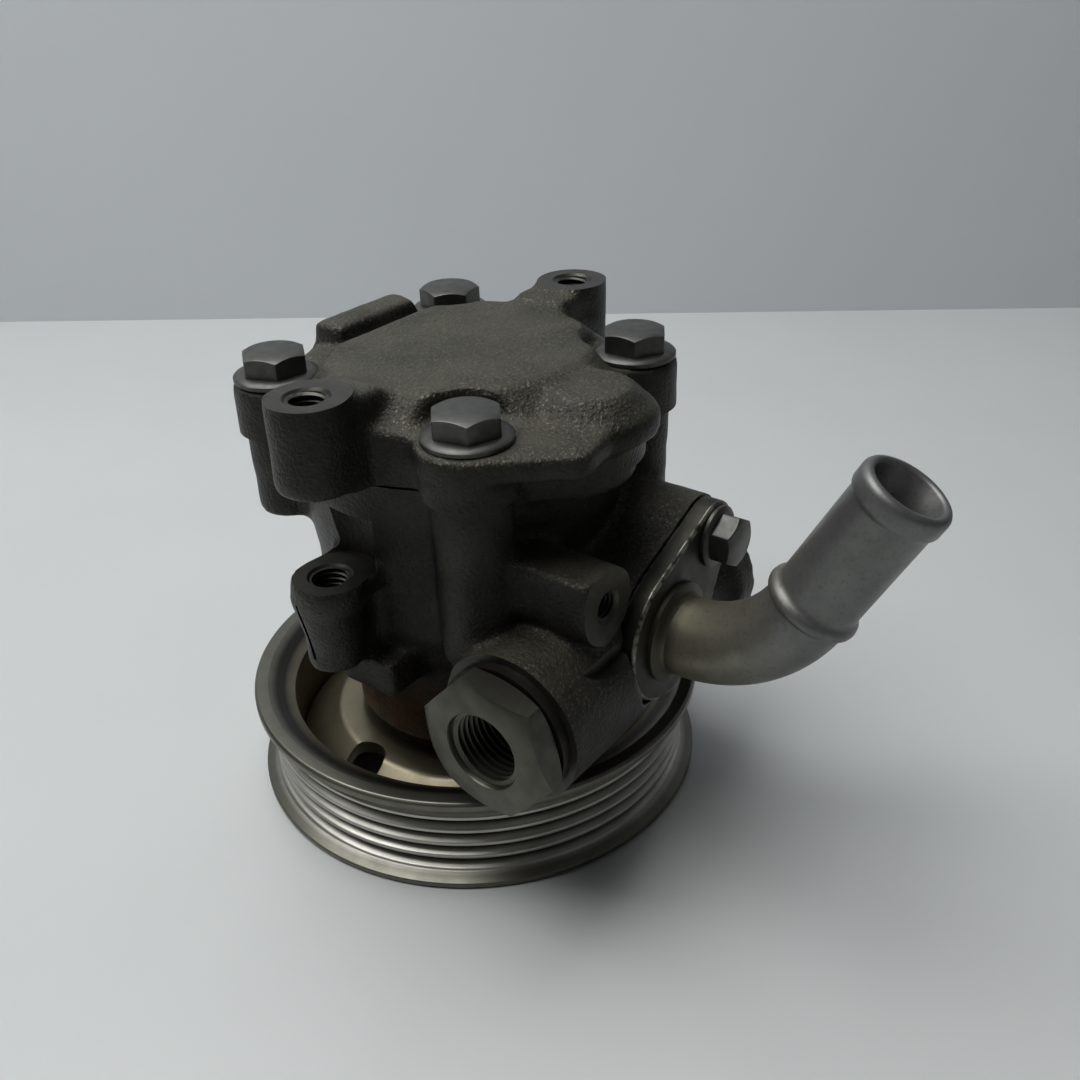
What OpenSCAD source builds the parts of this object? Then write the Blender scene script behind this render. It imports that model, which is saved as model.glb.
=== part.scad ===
// Vane-type power steering pump with a five-groove belt pulley, in millimetres.
// The origin is on the shaft axis in the pulley's front face. +Z runs along the shaft to the rear
// cover, the pressure port faces -Y and the suction port faces +X.

/* [Pulley] */
// Outer radius of the rim lip and of the front flange
pulley_r = 52.7; // [50:0.1:58]
// How far lip and flange stand above the belt ridges
rim_step = 3.2; // [2:0.1:4]
// Number of belt grooves
groove_count = 5; // [4:1:6]
// Distance from groove to groove
groove_pitch = 3.56; // [3.2:0.02:4]
// Depth of a groove below the ridges
groove_depth = 2.7; // [2:0.1:3]
// Wall behind the grooves
barrel_t = 3.3; // [2.5:0.1:4]
// Thickness of the front flange
front_flange_t = 2.6; // [2:0.1:4]
// Height of the rear lip
lip_h = 3.3; // [2.5:0.1:5]
// Width of the lip's flat top ring
lip_flat = 3.2; // [2:0.1:3.6]
// Thickness of the pressed web
web_t = 3; // [2:0.1:3.5]
// Height of the web's hub seat above the front face
web_seat_z = 8; // [7:0.1:9]
// Rise of the web's ridge above its hub seat
web_rise = 3; // [1:0.1:3.5]
// Radius of the middle of the web's ridge
ridge_mid_r = 30.5; // [29:0.1:32]
// Width of the flat top of the web's ridge
ridge_w = 6; // [3:0.1:7]
// Number of holes in the web
web_hole_count = 4; // [3:1:6]
// Radius of a hole in the web
web_hole_r = 5; // [3:0.1:5.5]
// Radius of the circle of web holes
web_hole_circle_r = 35.5; // [34:0.1:37]

/* [Hub and shaft] */
// Radius of the hub flange that carries the pulley
hub_r = 22; // [21:0.1:24]
// Thickness of the hub flange
hub_t = 5; // [4:0.1:6]
// Radius of the hub's pilot in the pulley
pilot_r = 10; // [9.5:0.1:10.5]
// Radius of the circle of pulley bolts
pulley_bolt_circle_r = 15.5; // [15:0.1:16]
// Number of pulley bolts
pulley_bolt_count = 3; // [3:1:4]
// Radius of the shaft
shaft_r = 8.5; // [8:0.1:9]
// Radius of the splined shaft end in the rotor
spline_r = 7.5; // [6.5:0.1:7.8]
// How far the housing nose reaches into the pulley
nose_in = 4.7; // [3.5:0.1:5.5]

/* [Bearing, seal and bush] */
// Outer radius of the ball bearing
bearing_r = 20; // [19:0.1:21]
// Width of the ball bearing
bearing_w = 12; // [11:0.1:14]
// Radius of a bearing ball
ball_r = 3.2; // [2.8:0.1:3.3]
// Number of bearing balls
ball_count = 8; // [6:1:9]
// Thickness of the bearing circlip
circlip_t = 1.2; // [1:0.1:1.5]
// Outer radius of the shaft seal
seal_r = 15; // [13:0.1:16]
// Width of the shaft seal's pocket
seal_pocket_w = 8.8; // [8:0.1:11]
// Outer radius of the shaft bush
bush_r = 10.5; // [10.2:0.1:11.5]
// Length of the shaft bush's bore
bush_bore_w = 12; // [10:0.1:15]

/* [Pump set] */
// Radius of the cavity that holds the pump set
cavity_r = 27; // [26.5:0.1:28]
// Thickness of the front plate
front_plate_t = 5; // [4:0.1:7]
// Width of the cam ring
cam_w = 14; // [12:0.1:18]
// Thickness of the rear plate
rear_plate_t = 11; // [10:0.1:13]
// Thinnest wall of the cam ring
cam_wall = 5.4; // [5:0.1:6]
// Rise of the cam ring's track from its small to its large radius
cam_lift = 2.1; // [1.6:0.1:2.4]
// Number of vanes
vane_count = 10; // [8:1:11]
// Thickness of a vane
vane_t = 1.6; // [1.2:0.1:2]
// Length of a vane across the rotor
vane_len = 7; // [5.5:0.1:7.4]
// Radius of a dowel pin
dowel_r = 2; // [1.5:0.1:2.1]
// Gap between the rear plate and the cover's joint face
plate_gap = 2.5; // [2:0.1:4]
// Thickness of the rear plate's sealing ring
plate_seal_t = 1.9; // [1.6:0.1:2.2]
// Width of the spring ring behind the rotor
rotor_clip_w = 2.2; // [1.8:0.1:2.6]
// Thickness of the spring ring behind the rotor
rotor_clip_t = 1.1; // [0.9:0.1:1.4]

/* [Housing] */
// Radius of the bearing nose
nose_r = 28; // [27:0.1:30]
// Radius of the body round the pump set
body_r = 33.2; // [32.8:0.1:35]
// Radius of the housing's joint flange
joint_r = 36; // [35.5:0.1:37.5]
// Thickness of the housing's joint flange
joint_t = 8; // [6:0.1:10]
// Radius of the circle of cover bolts
bolt_circle_r = 37.6; // [37:0.1:40]
// Turn of the cover bolt square about the shaft
bolt_turn = 42.3; // [40:0.1:46]
// Radius of the cover's bolt lugs
lug_r = 9.2; // [9:0.1:10]
// Radius of the housing's bolt columns
column_r = 7.4; // [7:0.1:8]
// Lengths of the bolt columns below the joint face, by quadrant
column_lengths = [28.5, 18.5, 18.5, 36];
// Distance of the mounting ears from the shaft axis
ear_y = 42.3; // [41.5:0.1:44]
// Outer radius of a mounting ear
ear_r = 8; // [7:0.1:8.5]
// Depth of the lower ear's top below the joint face
low_ear_drop = 19; // [17:0.1:22]
// Height of the lower ear and the column under it
low_ear_h = 21; // [18:0.1:22]
// Thickness of the lower ear's head
low_head_t = 5; // [4:0.1:7]
// Radius of the column under the lower ear
low_column_r = 5.4; // [5:0.1:6.5]
// Place of that column
low_column_at = [-1.4, -42.6];
// Depth of the lower ear's tapped hole
low_hole_depth = 9; // [7:0.1:10]
// Size of the cast pad beside the nose
pad_size = [12.6, 18, 6];
// Corner of the cast pad
pad_at = [-4, -36.6];
// Height of the cast pad above the nose's end
pad_up = 20; // [19:0.1:21]
// Radius of a mounting ear's tapped hole
ear_hole_r = 3.4; // [3:0.1:4.2]
// Chamfer at the mouth of a tapped hole
tap_chamfer = 1.2; // [0.5:0.1:1.6]

/* [Flow valve] */
// Distance of the valve axis from the shaft axis
valve_x = 39.1; // [38.5:0.1:41]
// Height of the valve axis above the nose's end
valve_up = 24.2; // [23:0.1:26]
// Outer radius of the valve barrel
valve_barrel_r = 16; // [15.5:0.1:16.5]
// Distance of the barrel's mouth from the shaft axis
valve_mouth_y = 36.5; // [35:0.1:40]
// Length of the thick front part of the barrel
valve_front_len = 45.5; // [44:0.1:48]
// Outer radius of the thin rear part of the barrel
valve_rear_r = 12; // [11:0.1:13]
// Distance of the barrel's rear end from the shaft axis
valve_rear_y = 38; // [36:0.1:42]
// Radius of the disc at the barrel's rear end
valve_disc_r = 15; // [13.5:0.1:16]
// Thickness of the disc at the barrel's rear end
valve_disc_t = 8; // [6:0.1:9]
// Radius of the valve bore
valve_bore_r = 6.8; // [6.5:0.1:7]
// Wall left at the closed end of the valve bore
valve_end_wall = 8; // [5:0.1:10]
// Length of the valve spool
spool_len = 28; // [26:0.1:30]
// Radius of the spool's relief chamber
relief_r = 4; // [3.8:0.1:4.4]
// Depth of the spool's relief chamber
relief_depth = 18; // [17:0.1:20]
// Length of the threaded part of the relief seat
relief_seat_len = 5; // [4:0.1:6]
// Radius of the relief ball
relief_ball_r = 2.5; // [2.2:0.1:2.8]

/* [Pressure union] */
// Width across the flats of the union's hexagon
union_flats = 27; // [26:0.1:28]
// Length of the union's hexagon
union_hex_len = 6.5; // [5:0.1:9]
// Turn of the hexagon about the valve axis
union_turn = 11.8; // [0:0.1:60]
// Radius of the union's threaded stub
union_stub_r = 11; // [10.5:0.1:12]
// Length of the union's threaded stub
union_stub_len = 12.5; // [11:0.1:15]
// Radius of the port thread's core
port_r = 7.2; // [6.5:0.1:7.6]
// Chamfer at the port's mouth
port_chamfer = 1.3; // [0.5:0.1:2]
// Depth of the port thread
port_depth = 13; // [11:0.1:14]
// Thickness of the sealing ring behind the hexagon
union_seal_t = 2.4; // [1.5:0.1:3]

/* [Suction side] */
// Distance of the housing's port face from the shaft axis
port_face_x = 48; // [47.8:0.1:49]
// Place of the suction axis along Y
suction_y = 2.4; // [1:0.1:4]
// Height of the suction axis above the nose's end
suction_up = 30; // [29:0.1:31]
// Radius of the flange plate round the pipe
flange_big_r = 15.6; // [15:0.1:16.5]
// Radius of the flange plate round its bolt
flange_small_r = 7.6; // [7.2:0.1:8.5]
// Offset of the flange bolt from the suction axis along Y
flange_bolt_dy = 16.5; // [16:0.1:18]
// Offset of the flange bolt above the suction axis
flange_bolt_dz = 15; // [14.5:0.1:17]
// Thickness of the flange plate
flange_plate_t = 4.5; // [4:0.1:6]
// Outer radius of the pipe at its elbow
pipe_r = 8.5; // [8:0.1:8.8]
// Wall of the pipe
pipe_wall = 1.5; // [1:0.1:2]
// How far the pipe's end reaches into the housing
pipe_insert = 1.4; // [1:0.1:1.5]
// Straight length of pipe before the elbow
pipe_lead = 3.4; // [3:0.1:8]
// Radius of the elbow's centre line
elbow_r = 27.8; // [24:0.1:34]
// Angle of the elbow
elbow_angle = 62.5; // [60:0.5:62.5]
// Turn of the elbow about the suction axis
elbow_turn = -7.5; // [-12:0.5:12]
// Outer radius of the hose spigot
spigot_r = 8.5; // [8.4:0.1:9.4]
// Length of the hose spigot
spigot_len = 31.9; // [26:0.1:40]
// How far the stop bead stands above the spigot
bead_rise = 1.2; // [0.8:0.1:1.6]
// Radius of the brazed collar at the flange
collar_r = 10.9; // [10.4:0.1:12]

/* [Bracket boss] */
// Distance of the bracket boss's face from the shaft axis
bracket_x = 50; // [48:0.1:52]
// Place of the bracket boss along Y
bracket_y = -18.6; // [-20:0.1:-18]
// Depth of the bracket boss's axis below the joint face
bracket_drop = 21.2; // [20:0.1:22]
// Radius of the bracket boss
bracket_r = 8.1; // [7:0.1:8.4]
// Radius of the bracket boss's tapped hole
bracket_hole_r = 2.5; // [2:0.1:3.4]
// Depth of the bracket boss's tapped hole
bracket_hole_depth = 12; // [8:0.1:14]

/* [Rear cover] */
// Thickness of the cover at the bolt lugs
cover_t = 11.1; // [10:0.1:12]
// Height of the cover's dome above the lugs
dome_h = 5.4; // [4.5:0.1:6.5]
// Radius of the dome at its foot
dome_foot_r = 35; // [33:0.1:35.5]
// Radius of the dome at its top
dome_top_r = 28; // [24:0.1:30]
// Height of the ears above the lugs
ear_rise = 7.7; // [7:0.1:9]
// How far the front ear hangs below the joint face
ear_hang = 5.5; // [3:0.1:7]
// Height of the arms that run to the ears, below the ears' tops
arm_drop = 0.8; // [0.5:0.1:2]
// Length of the raised end of an arm
arm_end_len = 13; // [11:0.1:15]
// Place of the side lobe at the joint
lobe_at = [26, -3];
// Radius of the side lobe at the joint
lobe_r = 19; // [17:0.1:20]
// Thickness of the housing's side lobe
lobe_t = 4; // [3:0.1:6]
// Thickness of the cover's overhanging side flange
side_flange_t = 5.5; // [4:0.1:7]
// Radius of the side flange round its bolt
side_lug_r = 10.4; // [10:0.1:11.5]
// Place of the side flange's corner
side_corner_at = [43, -20];
// Radius of the side flange's corner
side_corner_r = 4.5; // [3.5:0.1:5.5]
// Place of the boss on the side flange
boss_at = [35, -2];
// Radius of the boss on the side flange
boss_r = 13.5; // [12.5:0.1:14]
// Size of the raised rib on the cover
rib_size = [9, 26, 5.9];
// Corner of the raised rib
rib_at = [-35, -8];
// Width of the valley between rib and dome
valley_w = 5; // [3:0.1:6]
// Radius of the recess inside the cover
recess_r = 24; // [23:0.1:25]
// Depth of the recess inside the cover
recess_depth = 5; // [4.5:0.1:6]

/* [Bolts] */
// Thread radius of the cover and pulley bolts
bolt_r = 4; // [3.5:0.1:4.2]
// Width across the flats of the cover bolts
bolt_flats = 12.4; // [12:0.1:13]
// Radius of the cover bolt's flange
bolt_flange_r = 8.8; // [8:0.1:8.9]
// Thickness of the cover bolt's flange
bolt_flange_t = 1.5; // [1.2:0.1:2]
// Height of the cover bolt's hexagon
bolt_hex_h = 4.4; // [4:0.1:5.5]
// Turn of each cover bolt's head from the radial direction, by quadrant
bolt_head_turns = [19, 29, 38, 58];
// Length of thread in the housing
bolt_grip = 14; // [12:0.1:15]
// Thread radius of the flange bolt
small_bolt_r = 3; // [2.5:0.1:3.2]
// Width across the flats of the flange bolt
small_bolt_flats = 10; // [8:0.1:10.5]
// Height of the flange bolt's head
small_bolt_head_h = 6; // [5:0.1:7]
// Length of the flange bolt's thread in the housing
small_bolt_grip = 12; // [9:0.1:14]

/* [Hidden] */
$fn = 64;
// Clearances of pieces that seat, that run on each other, and that pass freely
seat_gap = 0.02;
run_gap = 0.05;
free_gap = 0.3;
// Chamfer at a bolt's hole, and room left below the bolt's end
bolt_hole_chamfer = 0.6;
bolt_end_gap = 2;
// Overlap that makes a cut or a joined solid pass its neighbour's face
over = 0.5;

// Places along the shaft
groove_z = front_flange_t;
lip_z = groove_z + groove_count * groove_pitch;
pulley_h = lip_z + lip_h;
nose_z = pulley_h - nose_in;
circlip_z = nose_z + 0.8;
bearing_z = circlip_z + circlip_t + 2 * run_gap;
seal_z = bearing_z + bearing_w;
bush_z = seal_z + seal_pocket_w;
cavity_z = bush_z + bush_bore_w;
cam_z = cavity_z + front_plate_t;
rear_plate_z = cam_z + cam_w;
rear_plate_top = rear_plate_z + rear_plate_t;
joint_z = rear_plate_top + plate_gap;
lug_z = joint_z + cover_t;
ear_top_z = lug_z + ear_rise;
shaft_top_z = rear_plate_z + 0.6 * rear_plate_t;
plate_seal_z = rear_plate_top - 1.6 * plate_seal_t;

// Radii that follow from each other
ridge_r = pulley_r - rim_step;
barrel_in_r = ridge_r - groove_depth - barrel_t;
web_top_z = web_seat_z + web_t;
hub_top_z = web_top_z + hub_t;
ball_circle_r = (bearing_r + shaft_r) / 2;
race_gap = 3.6;
cam_major_r = cavity_r - cam_wall;
cam_minor_r = cam_major_r - cam_lift;
rotor_r = cam_minor_r - 2 * free_gap;
dowel_circle_r = (cavity_r + cam_minor_r) / 2 + 0.6;
dowel_sink = 3.5;
inner_plate_r = cavity_r - seat_gap;

// Places across the shaft
valve_z = nose_z + valve_up;
suction_z = nose_z + suction_up;
port_root_x = 0.62 * body_r;
bracket_z = joint_z - bracket_drop;
low_ear_top_z = joint_z - low_ear_drop;
low_ear_z = low_ear_top_z - low_ear_h;
flange_face_x = port_face_x + flange_plate_t;
seal_groove = 1.6;
suction_seal_r = flange_big_r - 4;
flange_bolt_y = suction_y + flange_bolt_dy;
flange_bolt_z = suction_z + flange_bolt_dz;
end_r = spigot_r + 0.6 * bead_rise;
end_round = 1.4;
valve_bore_end_y = valve_rear_y - valve_end_wall;
union_end_y = -valve_mouth_y + union_stub_len;
spool_y = union_end_y + free_gap;
spool_end_y = spool_y + spool_len;
relief_seat_y = spool_end_y - relief_seat_len;
relief_hole_r = 0.6 * relief_ball_r;
relief_ball_y = relief_seat_y - sqrt(pow(relief_ball_r, 2) - pow(relief_hole_r, 2)) - free_gap;

// Tones of the metals and seals
iron_tone = [0.26, 0.25, 0.22];
steel_tone = [0.50, 0.49, 0.46];
zinc_tone = [0.66, 0.65, 0.61];
chromate_tone = [0.47, 0.45, 0.36];
bright_tone = [0.72, 0.72, 0.72];
bronze_tone = [0.62, 0.48, 0.28];
rubber_tone = [0.08, 0.08, 0.08];

// A ring of rectangular section on the shaft axis
module ring(r_in, r_out, z, h) {
    translate([0, 0, z]) rotate_extrude() translate([r_in, 0]) square([r_out - r_in, h]);
}

// A ring of round section on the shaft axis
module o_ring(mid_r, section_r, z) {
    translate([0, 0, z]) rotate_extrude() translate([mid_r, 0]) circle(section_r);
}

// Children drawn along +Z are turned to lie along +Y on the valve axis
module on_valve_axis(y) {
    translate([valve_x, y, valve_z]) rotate([-90, 0, 0]) children();
}

// Children drawn along +Z are turned to lie along +X
module along_x(x, y, z) {
    translate([x, y, z]) rotate([0, 90, 0]) children();
}

// Children are repeated at the four cover bolts
module at_cover_bolts() {
    for (i = [0:3]) rotate(bolt_turn + 90 * i) translate([bolt_circle_r, 0, 0]) children();
}

// Children are repeated at the pulley bolts
module at_pulley_bolts() {
    for (i = [0:pulley_bolt_count - 1])
        rotate(360 / pulley_bolt_count * i) translate([pulley_bolt_circle_r, 0, 0]) children();
}

// Hexagon head with its top corners turned off
module hex_head(flats, h) {
    intersection() {
        cylinder(h = h, r = flats / sqrt(3), $fn = 6);
        union() {
            cylinder(h = h - 0.12 * flats, r = flats);
            translate([0, 0, h - 0.12 * flats])
                cylinder(h = 0.12 * flats, r1 = 0.5 * flats + 0.21 * flats, r2 = 0.48 * flats);
        }
    }
}

// Hexagon bolt with a flange under its head; the seat is at z = 0 and the thread points down
module flange_bolt(r, length, flats, flange_r, flange_t, hex_h) {
    union() {
        translate([0, 0, -length]) cylinder(h = length + over, r = r - run_gap);
        cylinder(h = 0.5 * flange_t, r = flange_r);
        translate([0, 0, 0.5 * flange_t])
            cylinder(h = 0.5 * flange_t + over, r1 = flange_r, r2 = 0.55 * flats);
        translate([0, 0, flange_t]) hex_head(flats, hex_h);
    }
}

// Tapped hole with a chamfered mouth at z = 0, running down
module tapped_hole(r, depth, chamfer) {
    translate([0, 0, -depth]) cylinder(h = depth + over, r = r);
    translate([0, 0, -chamfer]) cylinder(h = chamfer + over, r1 = r, r2 = r + chamfer + over);
}

// Round wire coil along +Z, with flat-lying ends
function coil_point(t, r, length, turns) =
    [r * cos(360 * turns * t), r * sin(360 * turns * t), length * t];
module coil(r, wire_r, length, turns) {
    sides = 8;
    steps = 16 * turns;
    points = [
        for (i = [0:steps])
            let (a = 360 * turns * i / steps, p = coil_point(i / steps, r, length, turns))
            for (j = [0:sides - 1])
                let (b = 360 * j / sides)
                p + wire_r * [cos(b) * cos(a), cos(b) * sin(a), sin(b)]
    ];
    walls = [
        for (i = [0:steps - 1]) for (j = [0:sides - 1])
            let (k = (j + 1) % sides)
            [i * sides + j, i * sides + k, (i + 1) * sides + k, (i + 1) * sides + j]
    ];
    first = [for (j = [0:sides - 1]) sides - 1 - j];
    last = [for (j = [0:sides - 1]) steps * sides + j];
    polyhedron(points, concat([first], walls, [last]), convexity = 10);
}

// Teardrop outline of the suction flange: two circles and the strip between them, whose sides run
// just inside the tangent lines
module flange_outline(grow) {
    tuck = 0.1;
    d = [flange_bolt_dy, flange_bolt_dz];
    big = flange_big_r + grow;
    small = flange_small_r + grow;
    lean = acos((big - small) / norm(d));
    way = atan2(d[1], d[0]);
    up = [cos(way + lean), sin(way + lean)];
    down = [cos(way - lean), sin(way - lean)];
    circle(big);
    translate(d) circle(small);
    polygon([
        (big - tuck) * down, d + (small - tuck) * down, d + (small - tuck) * up, (big - tuck) * up
    ]);
}

// The flange outline, extruded along +X from x with its local axes set to Y and Z
module flange_block(x, t, grow) {
    translate([x, suction_y, suction_z])
        rotate([90, 0, 90]) linear_extrude(t) flange_outline(grow);
}

// Outline of the joint between housing and cover: a ring with bolt lugs
module joint_outline(lug) {
    circle(joint_r);
    at_cover_bolts() circle(lug);
    for (i = [0:3])
        rotate(bolt_turn + 90 * i) translate([0, -lug]) square([bolt_circle_r, 2 * lug]);
}

// Outline of the cover's side flange, from its bolt lug past a corner to the boss
module side_flange_outline() {
    tuck = 0.1;
    lug_at = bolt_circle_r * [cos(bolt_turn - 90), sin(bolt_turn - 90)];
    d = side_corner_at - lug_at;
    out_way = atan2(d[1], d[0]) - acos((side_lug_r - side_corner_r) / norm(d));
    out = [cos(out_way), sin(out_way)];
    translate(lug_at) circle(side_lug_r);
    translate(side_corner_at) circle(side_corner_r);
    translate(boss_at) circle(boss_r);
    polygon([
        lug_at, lug_at + (side_lug_r - tuck) * out, side_corner_at + (side_corner_r - tuck) * out,
        side_corner_at + [side_corner_r - tuck, 0], boss_at + [boss_r - side_corner_r, 0], boss_at
    ]);
}

// Bolt columns of the housing, one length per quadrant
module housing_columns() {
    for (i = [0:3])
        rotate(bolt_turn + 90 * i)
            translate([0, 0, joint_z - column_lengths[i]])
                linear_extrude(column_lengths[i] - joint_t / 2) union() {
                    translate([bolt_circle_r, 0]) circle(column_r);
                    translate([body_r / 2, -column_r])
                        square([bolt_circle_r - body_r / 2, 2 * column_r]);
                }
}

// Lower mounting ear and the cast pad beside it
module housing_ear() {
    head_z = low_ear_top_z - low_head_t;
    neck_h = ear_r - low_column_r + 1;
    web_w = 1.6 * low_column_r;
    translate([0, -ear_y, head_z]) cylinder(h = low_head_t, r = ear_r);
    translate([-0.9 * ear_r, -ear_y, head_z]) cube([1.8 * ear_r, ear_y - nose_r / 2, low_head_t]);
    translate([0, -ear_y, head_z - neck_h])
        cylinder(h = neck_h + over, r1 = low_column_r - 1, r2 = ear_r - 0.3);
    translate([low_column_at[0], low_column_at[1], low_ear_z])
        cylinder(h = low_ear_h - over, r = low_column_r);
    translate([low_column_at[0] - web_w / 2, low_column_at[1], low_ear_z])
        cube([web_w, -low_column_at[1] - nose_r / 2, low_ear_h - 2 * over]);
    translate([pad_at[0], pad_at[1], nose_z + pad_up]) cube(pad_size);
}

// Barrel that holds the flow valve, along Y beside the body
module valve_barrel() {
    on_valve_axis(-valve_mouth_y) cylinder(h = valve_front_len, r = valve_barrel_r);
    on_valve_axis(-valve_mouth_y) cylinder(h = valve_mouth_y + valve_rear_y, r = valve_rear_r);
    on_valve_axis(valve_rear_y - valve_disc_t) cylinder(h = valve_disc_t, r = valve_disc_r);
    translate([nose_r / 2, -nose_r / 2, valve_z - 0.8 * valve_rear_r])
        cube([valve_x - nose_r / 2, nose_r, 1.6 * valve_rear_r]);
}

// Boss with a squared upper corner for a bracket screw, along X
module bracket_boss() {
    root_x = body_r / 2;
    translate([root_x, bracket_y, bracket_z])
        rotate([90, 0, 90]) linear_extrude(bracket_x - root_x) union() {
            circle(bracket_r);
            translate([-bracket_r, 0]) square(bracket_r);
        }
}

// Bores of the bearing, seal, bush and pump set, stepped along the shaft
module shaft_bores() {
    translate([0, 0, nose_z - over])
        cylinder(h = seal_z - nose_z + over, r = bearing_r + seat_gap);
    ring(bearing_r - 1, bearing_r + 1, circlip_z, circlip_t + 2 * run_gap);
    translate([0, 0, seal_z - over]) cylinder(h = seal_pocket_w + over, r = seal_r + seat_gap);
    translate([0, 0, bush_z - over]) cylinder(h = bush_bore_w + 2 * over, r = bush_r + seat_gap);
    translate([0, 0, cavity_z]) cylinder(h = joint_z - cavity_z + over, r = cavity_r);
}

// Suction passage from the port face to the pump set, with the seal groove in the port face
module suction_passage() {
    end_x = 0.75 * cavity_r;
    socket_depth = pipe_insert + run_gap;
    along_x(port_face_x - socket_depth, suction_y, suction_z)
        cylinder(h = socket_depth + over, r = pipe_r + run_gap);
    along_x(end_x, suction_y, suction_z)
        cylinder(h = port_face_x - end_x, r = pipe_r - pipe_wall);
    along_x(port_face_x - seal_groove, suction_y, suction_z)
        rotate_extrude() translate([suction_seal_r - seal_groove / 2 - run_gap, 0])
            square([seal_groove + 2 * run_gap, seal_groove + over]);
}

// Space in front of the port face that the suction flange and its bolt need
module flange_pocket() {
    flange_block(port_face_x, 4 * flange_plate_t, 1);
}

// Cast iron body, machined at its bores, joint and port faces
module pump_housing() color(iron_tone) difference() {
    union() {
        translate([0, 0, nose_z]) cylinder(h = cavity_z - nose_z, r = nose_r);
        translate([0, 0, valve_z - 4])
            cylinder(h = cavity_z - valve_z, r1 = nose_r, r2 = body_r);
        translate([0, 0, cavity_z - 4 - over])
            cylinder(h = joint_z - joint_t / 2 - cavity_z + 4 + over, r = body_r);
        translate([0, 0, joint_z - joint_t]) linear_extrude(joint_t) joint_outline(column_r + 0.3);
        translate([lobe_at[0], lobe_at[1], joint_z - lobe_t]) cylinder(h = lobe_t, r = lobe_r - 1.5);
        housing_columns();
        housing_ear();
        valve_barrel();
        bracket_boss();
        flange_block(port_root_x, port_face_x - port_root_x, 0.6);
    }
    shaft_bores();
    flange_pocket();
    suction_passage();
    on_valve_axis(union_end_y - over)
        cylinder(h = valve_bore_end_y - union_end_y + over, r = valve_bore_r);
    on_valve_axis(-valve_mouth_y - over)
        cylinder(h = union_stub_len + over, r = union_stub_r + run_gap);
    along_x(port_face_x, flange_bolt_y, flange_bolt_z)
        tapped_hole(small_bolt_r, small_bolt_grip + bolt_end_gap, bolt_hole_chamfer);
    along_x(bracket_x, bracket_y, bracket_z)
        tapped_hole(bracket_hole_r, bracket_hole_depth, 0.8 * tap_chamfer);
    translate([0, 0, joint_z]) at_cover_bolts()
        tapped_hole(bolt_r, bolt_grip + bolt_end_gap, bolt_hole_chamfer);
    translate([0, -ear_y, low_ear_top_z]) tapped_hole(ear_hole_r, low_hole_depth, tap_chamfer);
    translate([0, -ear_y, joint_z - ear_hang - free_gap])
        cylinder(h = ear_hang + joint_t, r = ear_r + 2 * free_gap);
    ring(cavity_r + 1.5, cavity_r + 3.7, joint_z - 1.9, 1.9 + over);
    dowel_holes(cavity_z - dowel_sink - over, dowel_sink + 2 * over);
}

// Dome, side lobe and ear arms that stand above the cover's bolt lugs
module cover_dome() {
    arm_w = 2 * ear_r - 2;
    translate([0, 0, lug_z - over]) cylinder(h = dome_h + over, r1 = dome_foot_r, r2 = dome_top_r);
    translate([boss_at[0], boss_at[1], lug_z - over])
        cylinder(h = 0.8 * dome_h + over, r1 = boss_r - 0.6, r2 = boss_r - dome_h);
    translate([-arm_w / 2, -ear_y, lug_z - over]) cube([arm_w, 2 * ear_y, dome_h + over]);
    for (half = [0, 180])
        rotate(half) translate([-arm_w / 2, -ear_y, lug_z - over])
            cube([arm_w, arm_end_len, ear_rise - arm_drop + over]);
}

// Cast iron end cover with four bolt lugs and two tapped mounting ears
module rear_cover() color(iron_tone) difference() {
    union() {
        translate([0, 0, joint_z]) linear_extrude(cover_t) union() {
            joint_outline(lug_r);
            translate(lobe_at) circle(lobe_r);
            translate([-ear_r, -ear_y]) square([2 * ear_r, 2 * ear_y]);
            translate(rib_at) square([-rib_at[0], rib_size[1]]);
        }
        translate([0, 0, lug_z - side_flange_t]) linear_extrude(side_flange_t) side_flange_outline();
        difference() {
            cover_dome();
            translate([0, 0, lug_z]) at_cover_bolts()
                cylinder(h = 2 * dome_h, r = bolt_flange_r + 2.6);
            translate([rib_at[0], rib_at[1] - 8, lug_z + 1])
                cube([rib_size[0] + valley_w, rib_size[1] + 14, 2 * dome_h]);
        }
        translate([rib_at[0], rib_at[1], lug_z - over]) cube(rib_size + [0, 0, over]);
        translate([0, -ear_y, joint_z - ear_hang]) cylinder(h = ear_top_z - joint_z + ear_hang, r = ear_r);
        translate([0, ear_y, joint_z]) cylinder(h = ear_top_z - joint_z, r = ear_r);
    }
    translate([0, 0, joint_z - over]) cylinder(h = recess_depth + over, r = recess_r);
    translate([0, 0, joint_z - over]) at_cover_bolts()
        cylinder(h = cover_t + 2 * over, r = bolt_r + free_gap);
    for (side = [-1, 1])
        translate([0, side * ear_y, ear_top_z])
            tapped_hole(ear_hole_r, ear_top_z - joint_z + ear_hang + over, tap_chamfer);
}

// Round rubber ring in the housing's joint groove
module cover_seal() color(rubber_tone)
    o_ring(cavity_r + 2.6, 0.95, joint_z - 0.95);

// Four hexagon flange bolts that hold the cover
module cover_bolts() color(steel_tone)
    for (i = [0:3])
        rotate(bolt_turn + 90 * i) translate([bolt_circle_r, 0, lug_z]) rotate(bolt_head_turns[i])
            flange_bolt(bolt_r, cover_t + bolt_grip, bolt_flats, bolt_flange_r, bolt_flange_t, bolt_hex_h);

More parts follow.
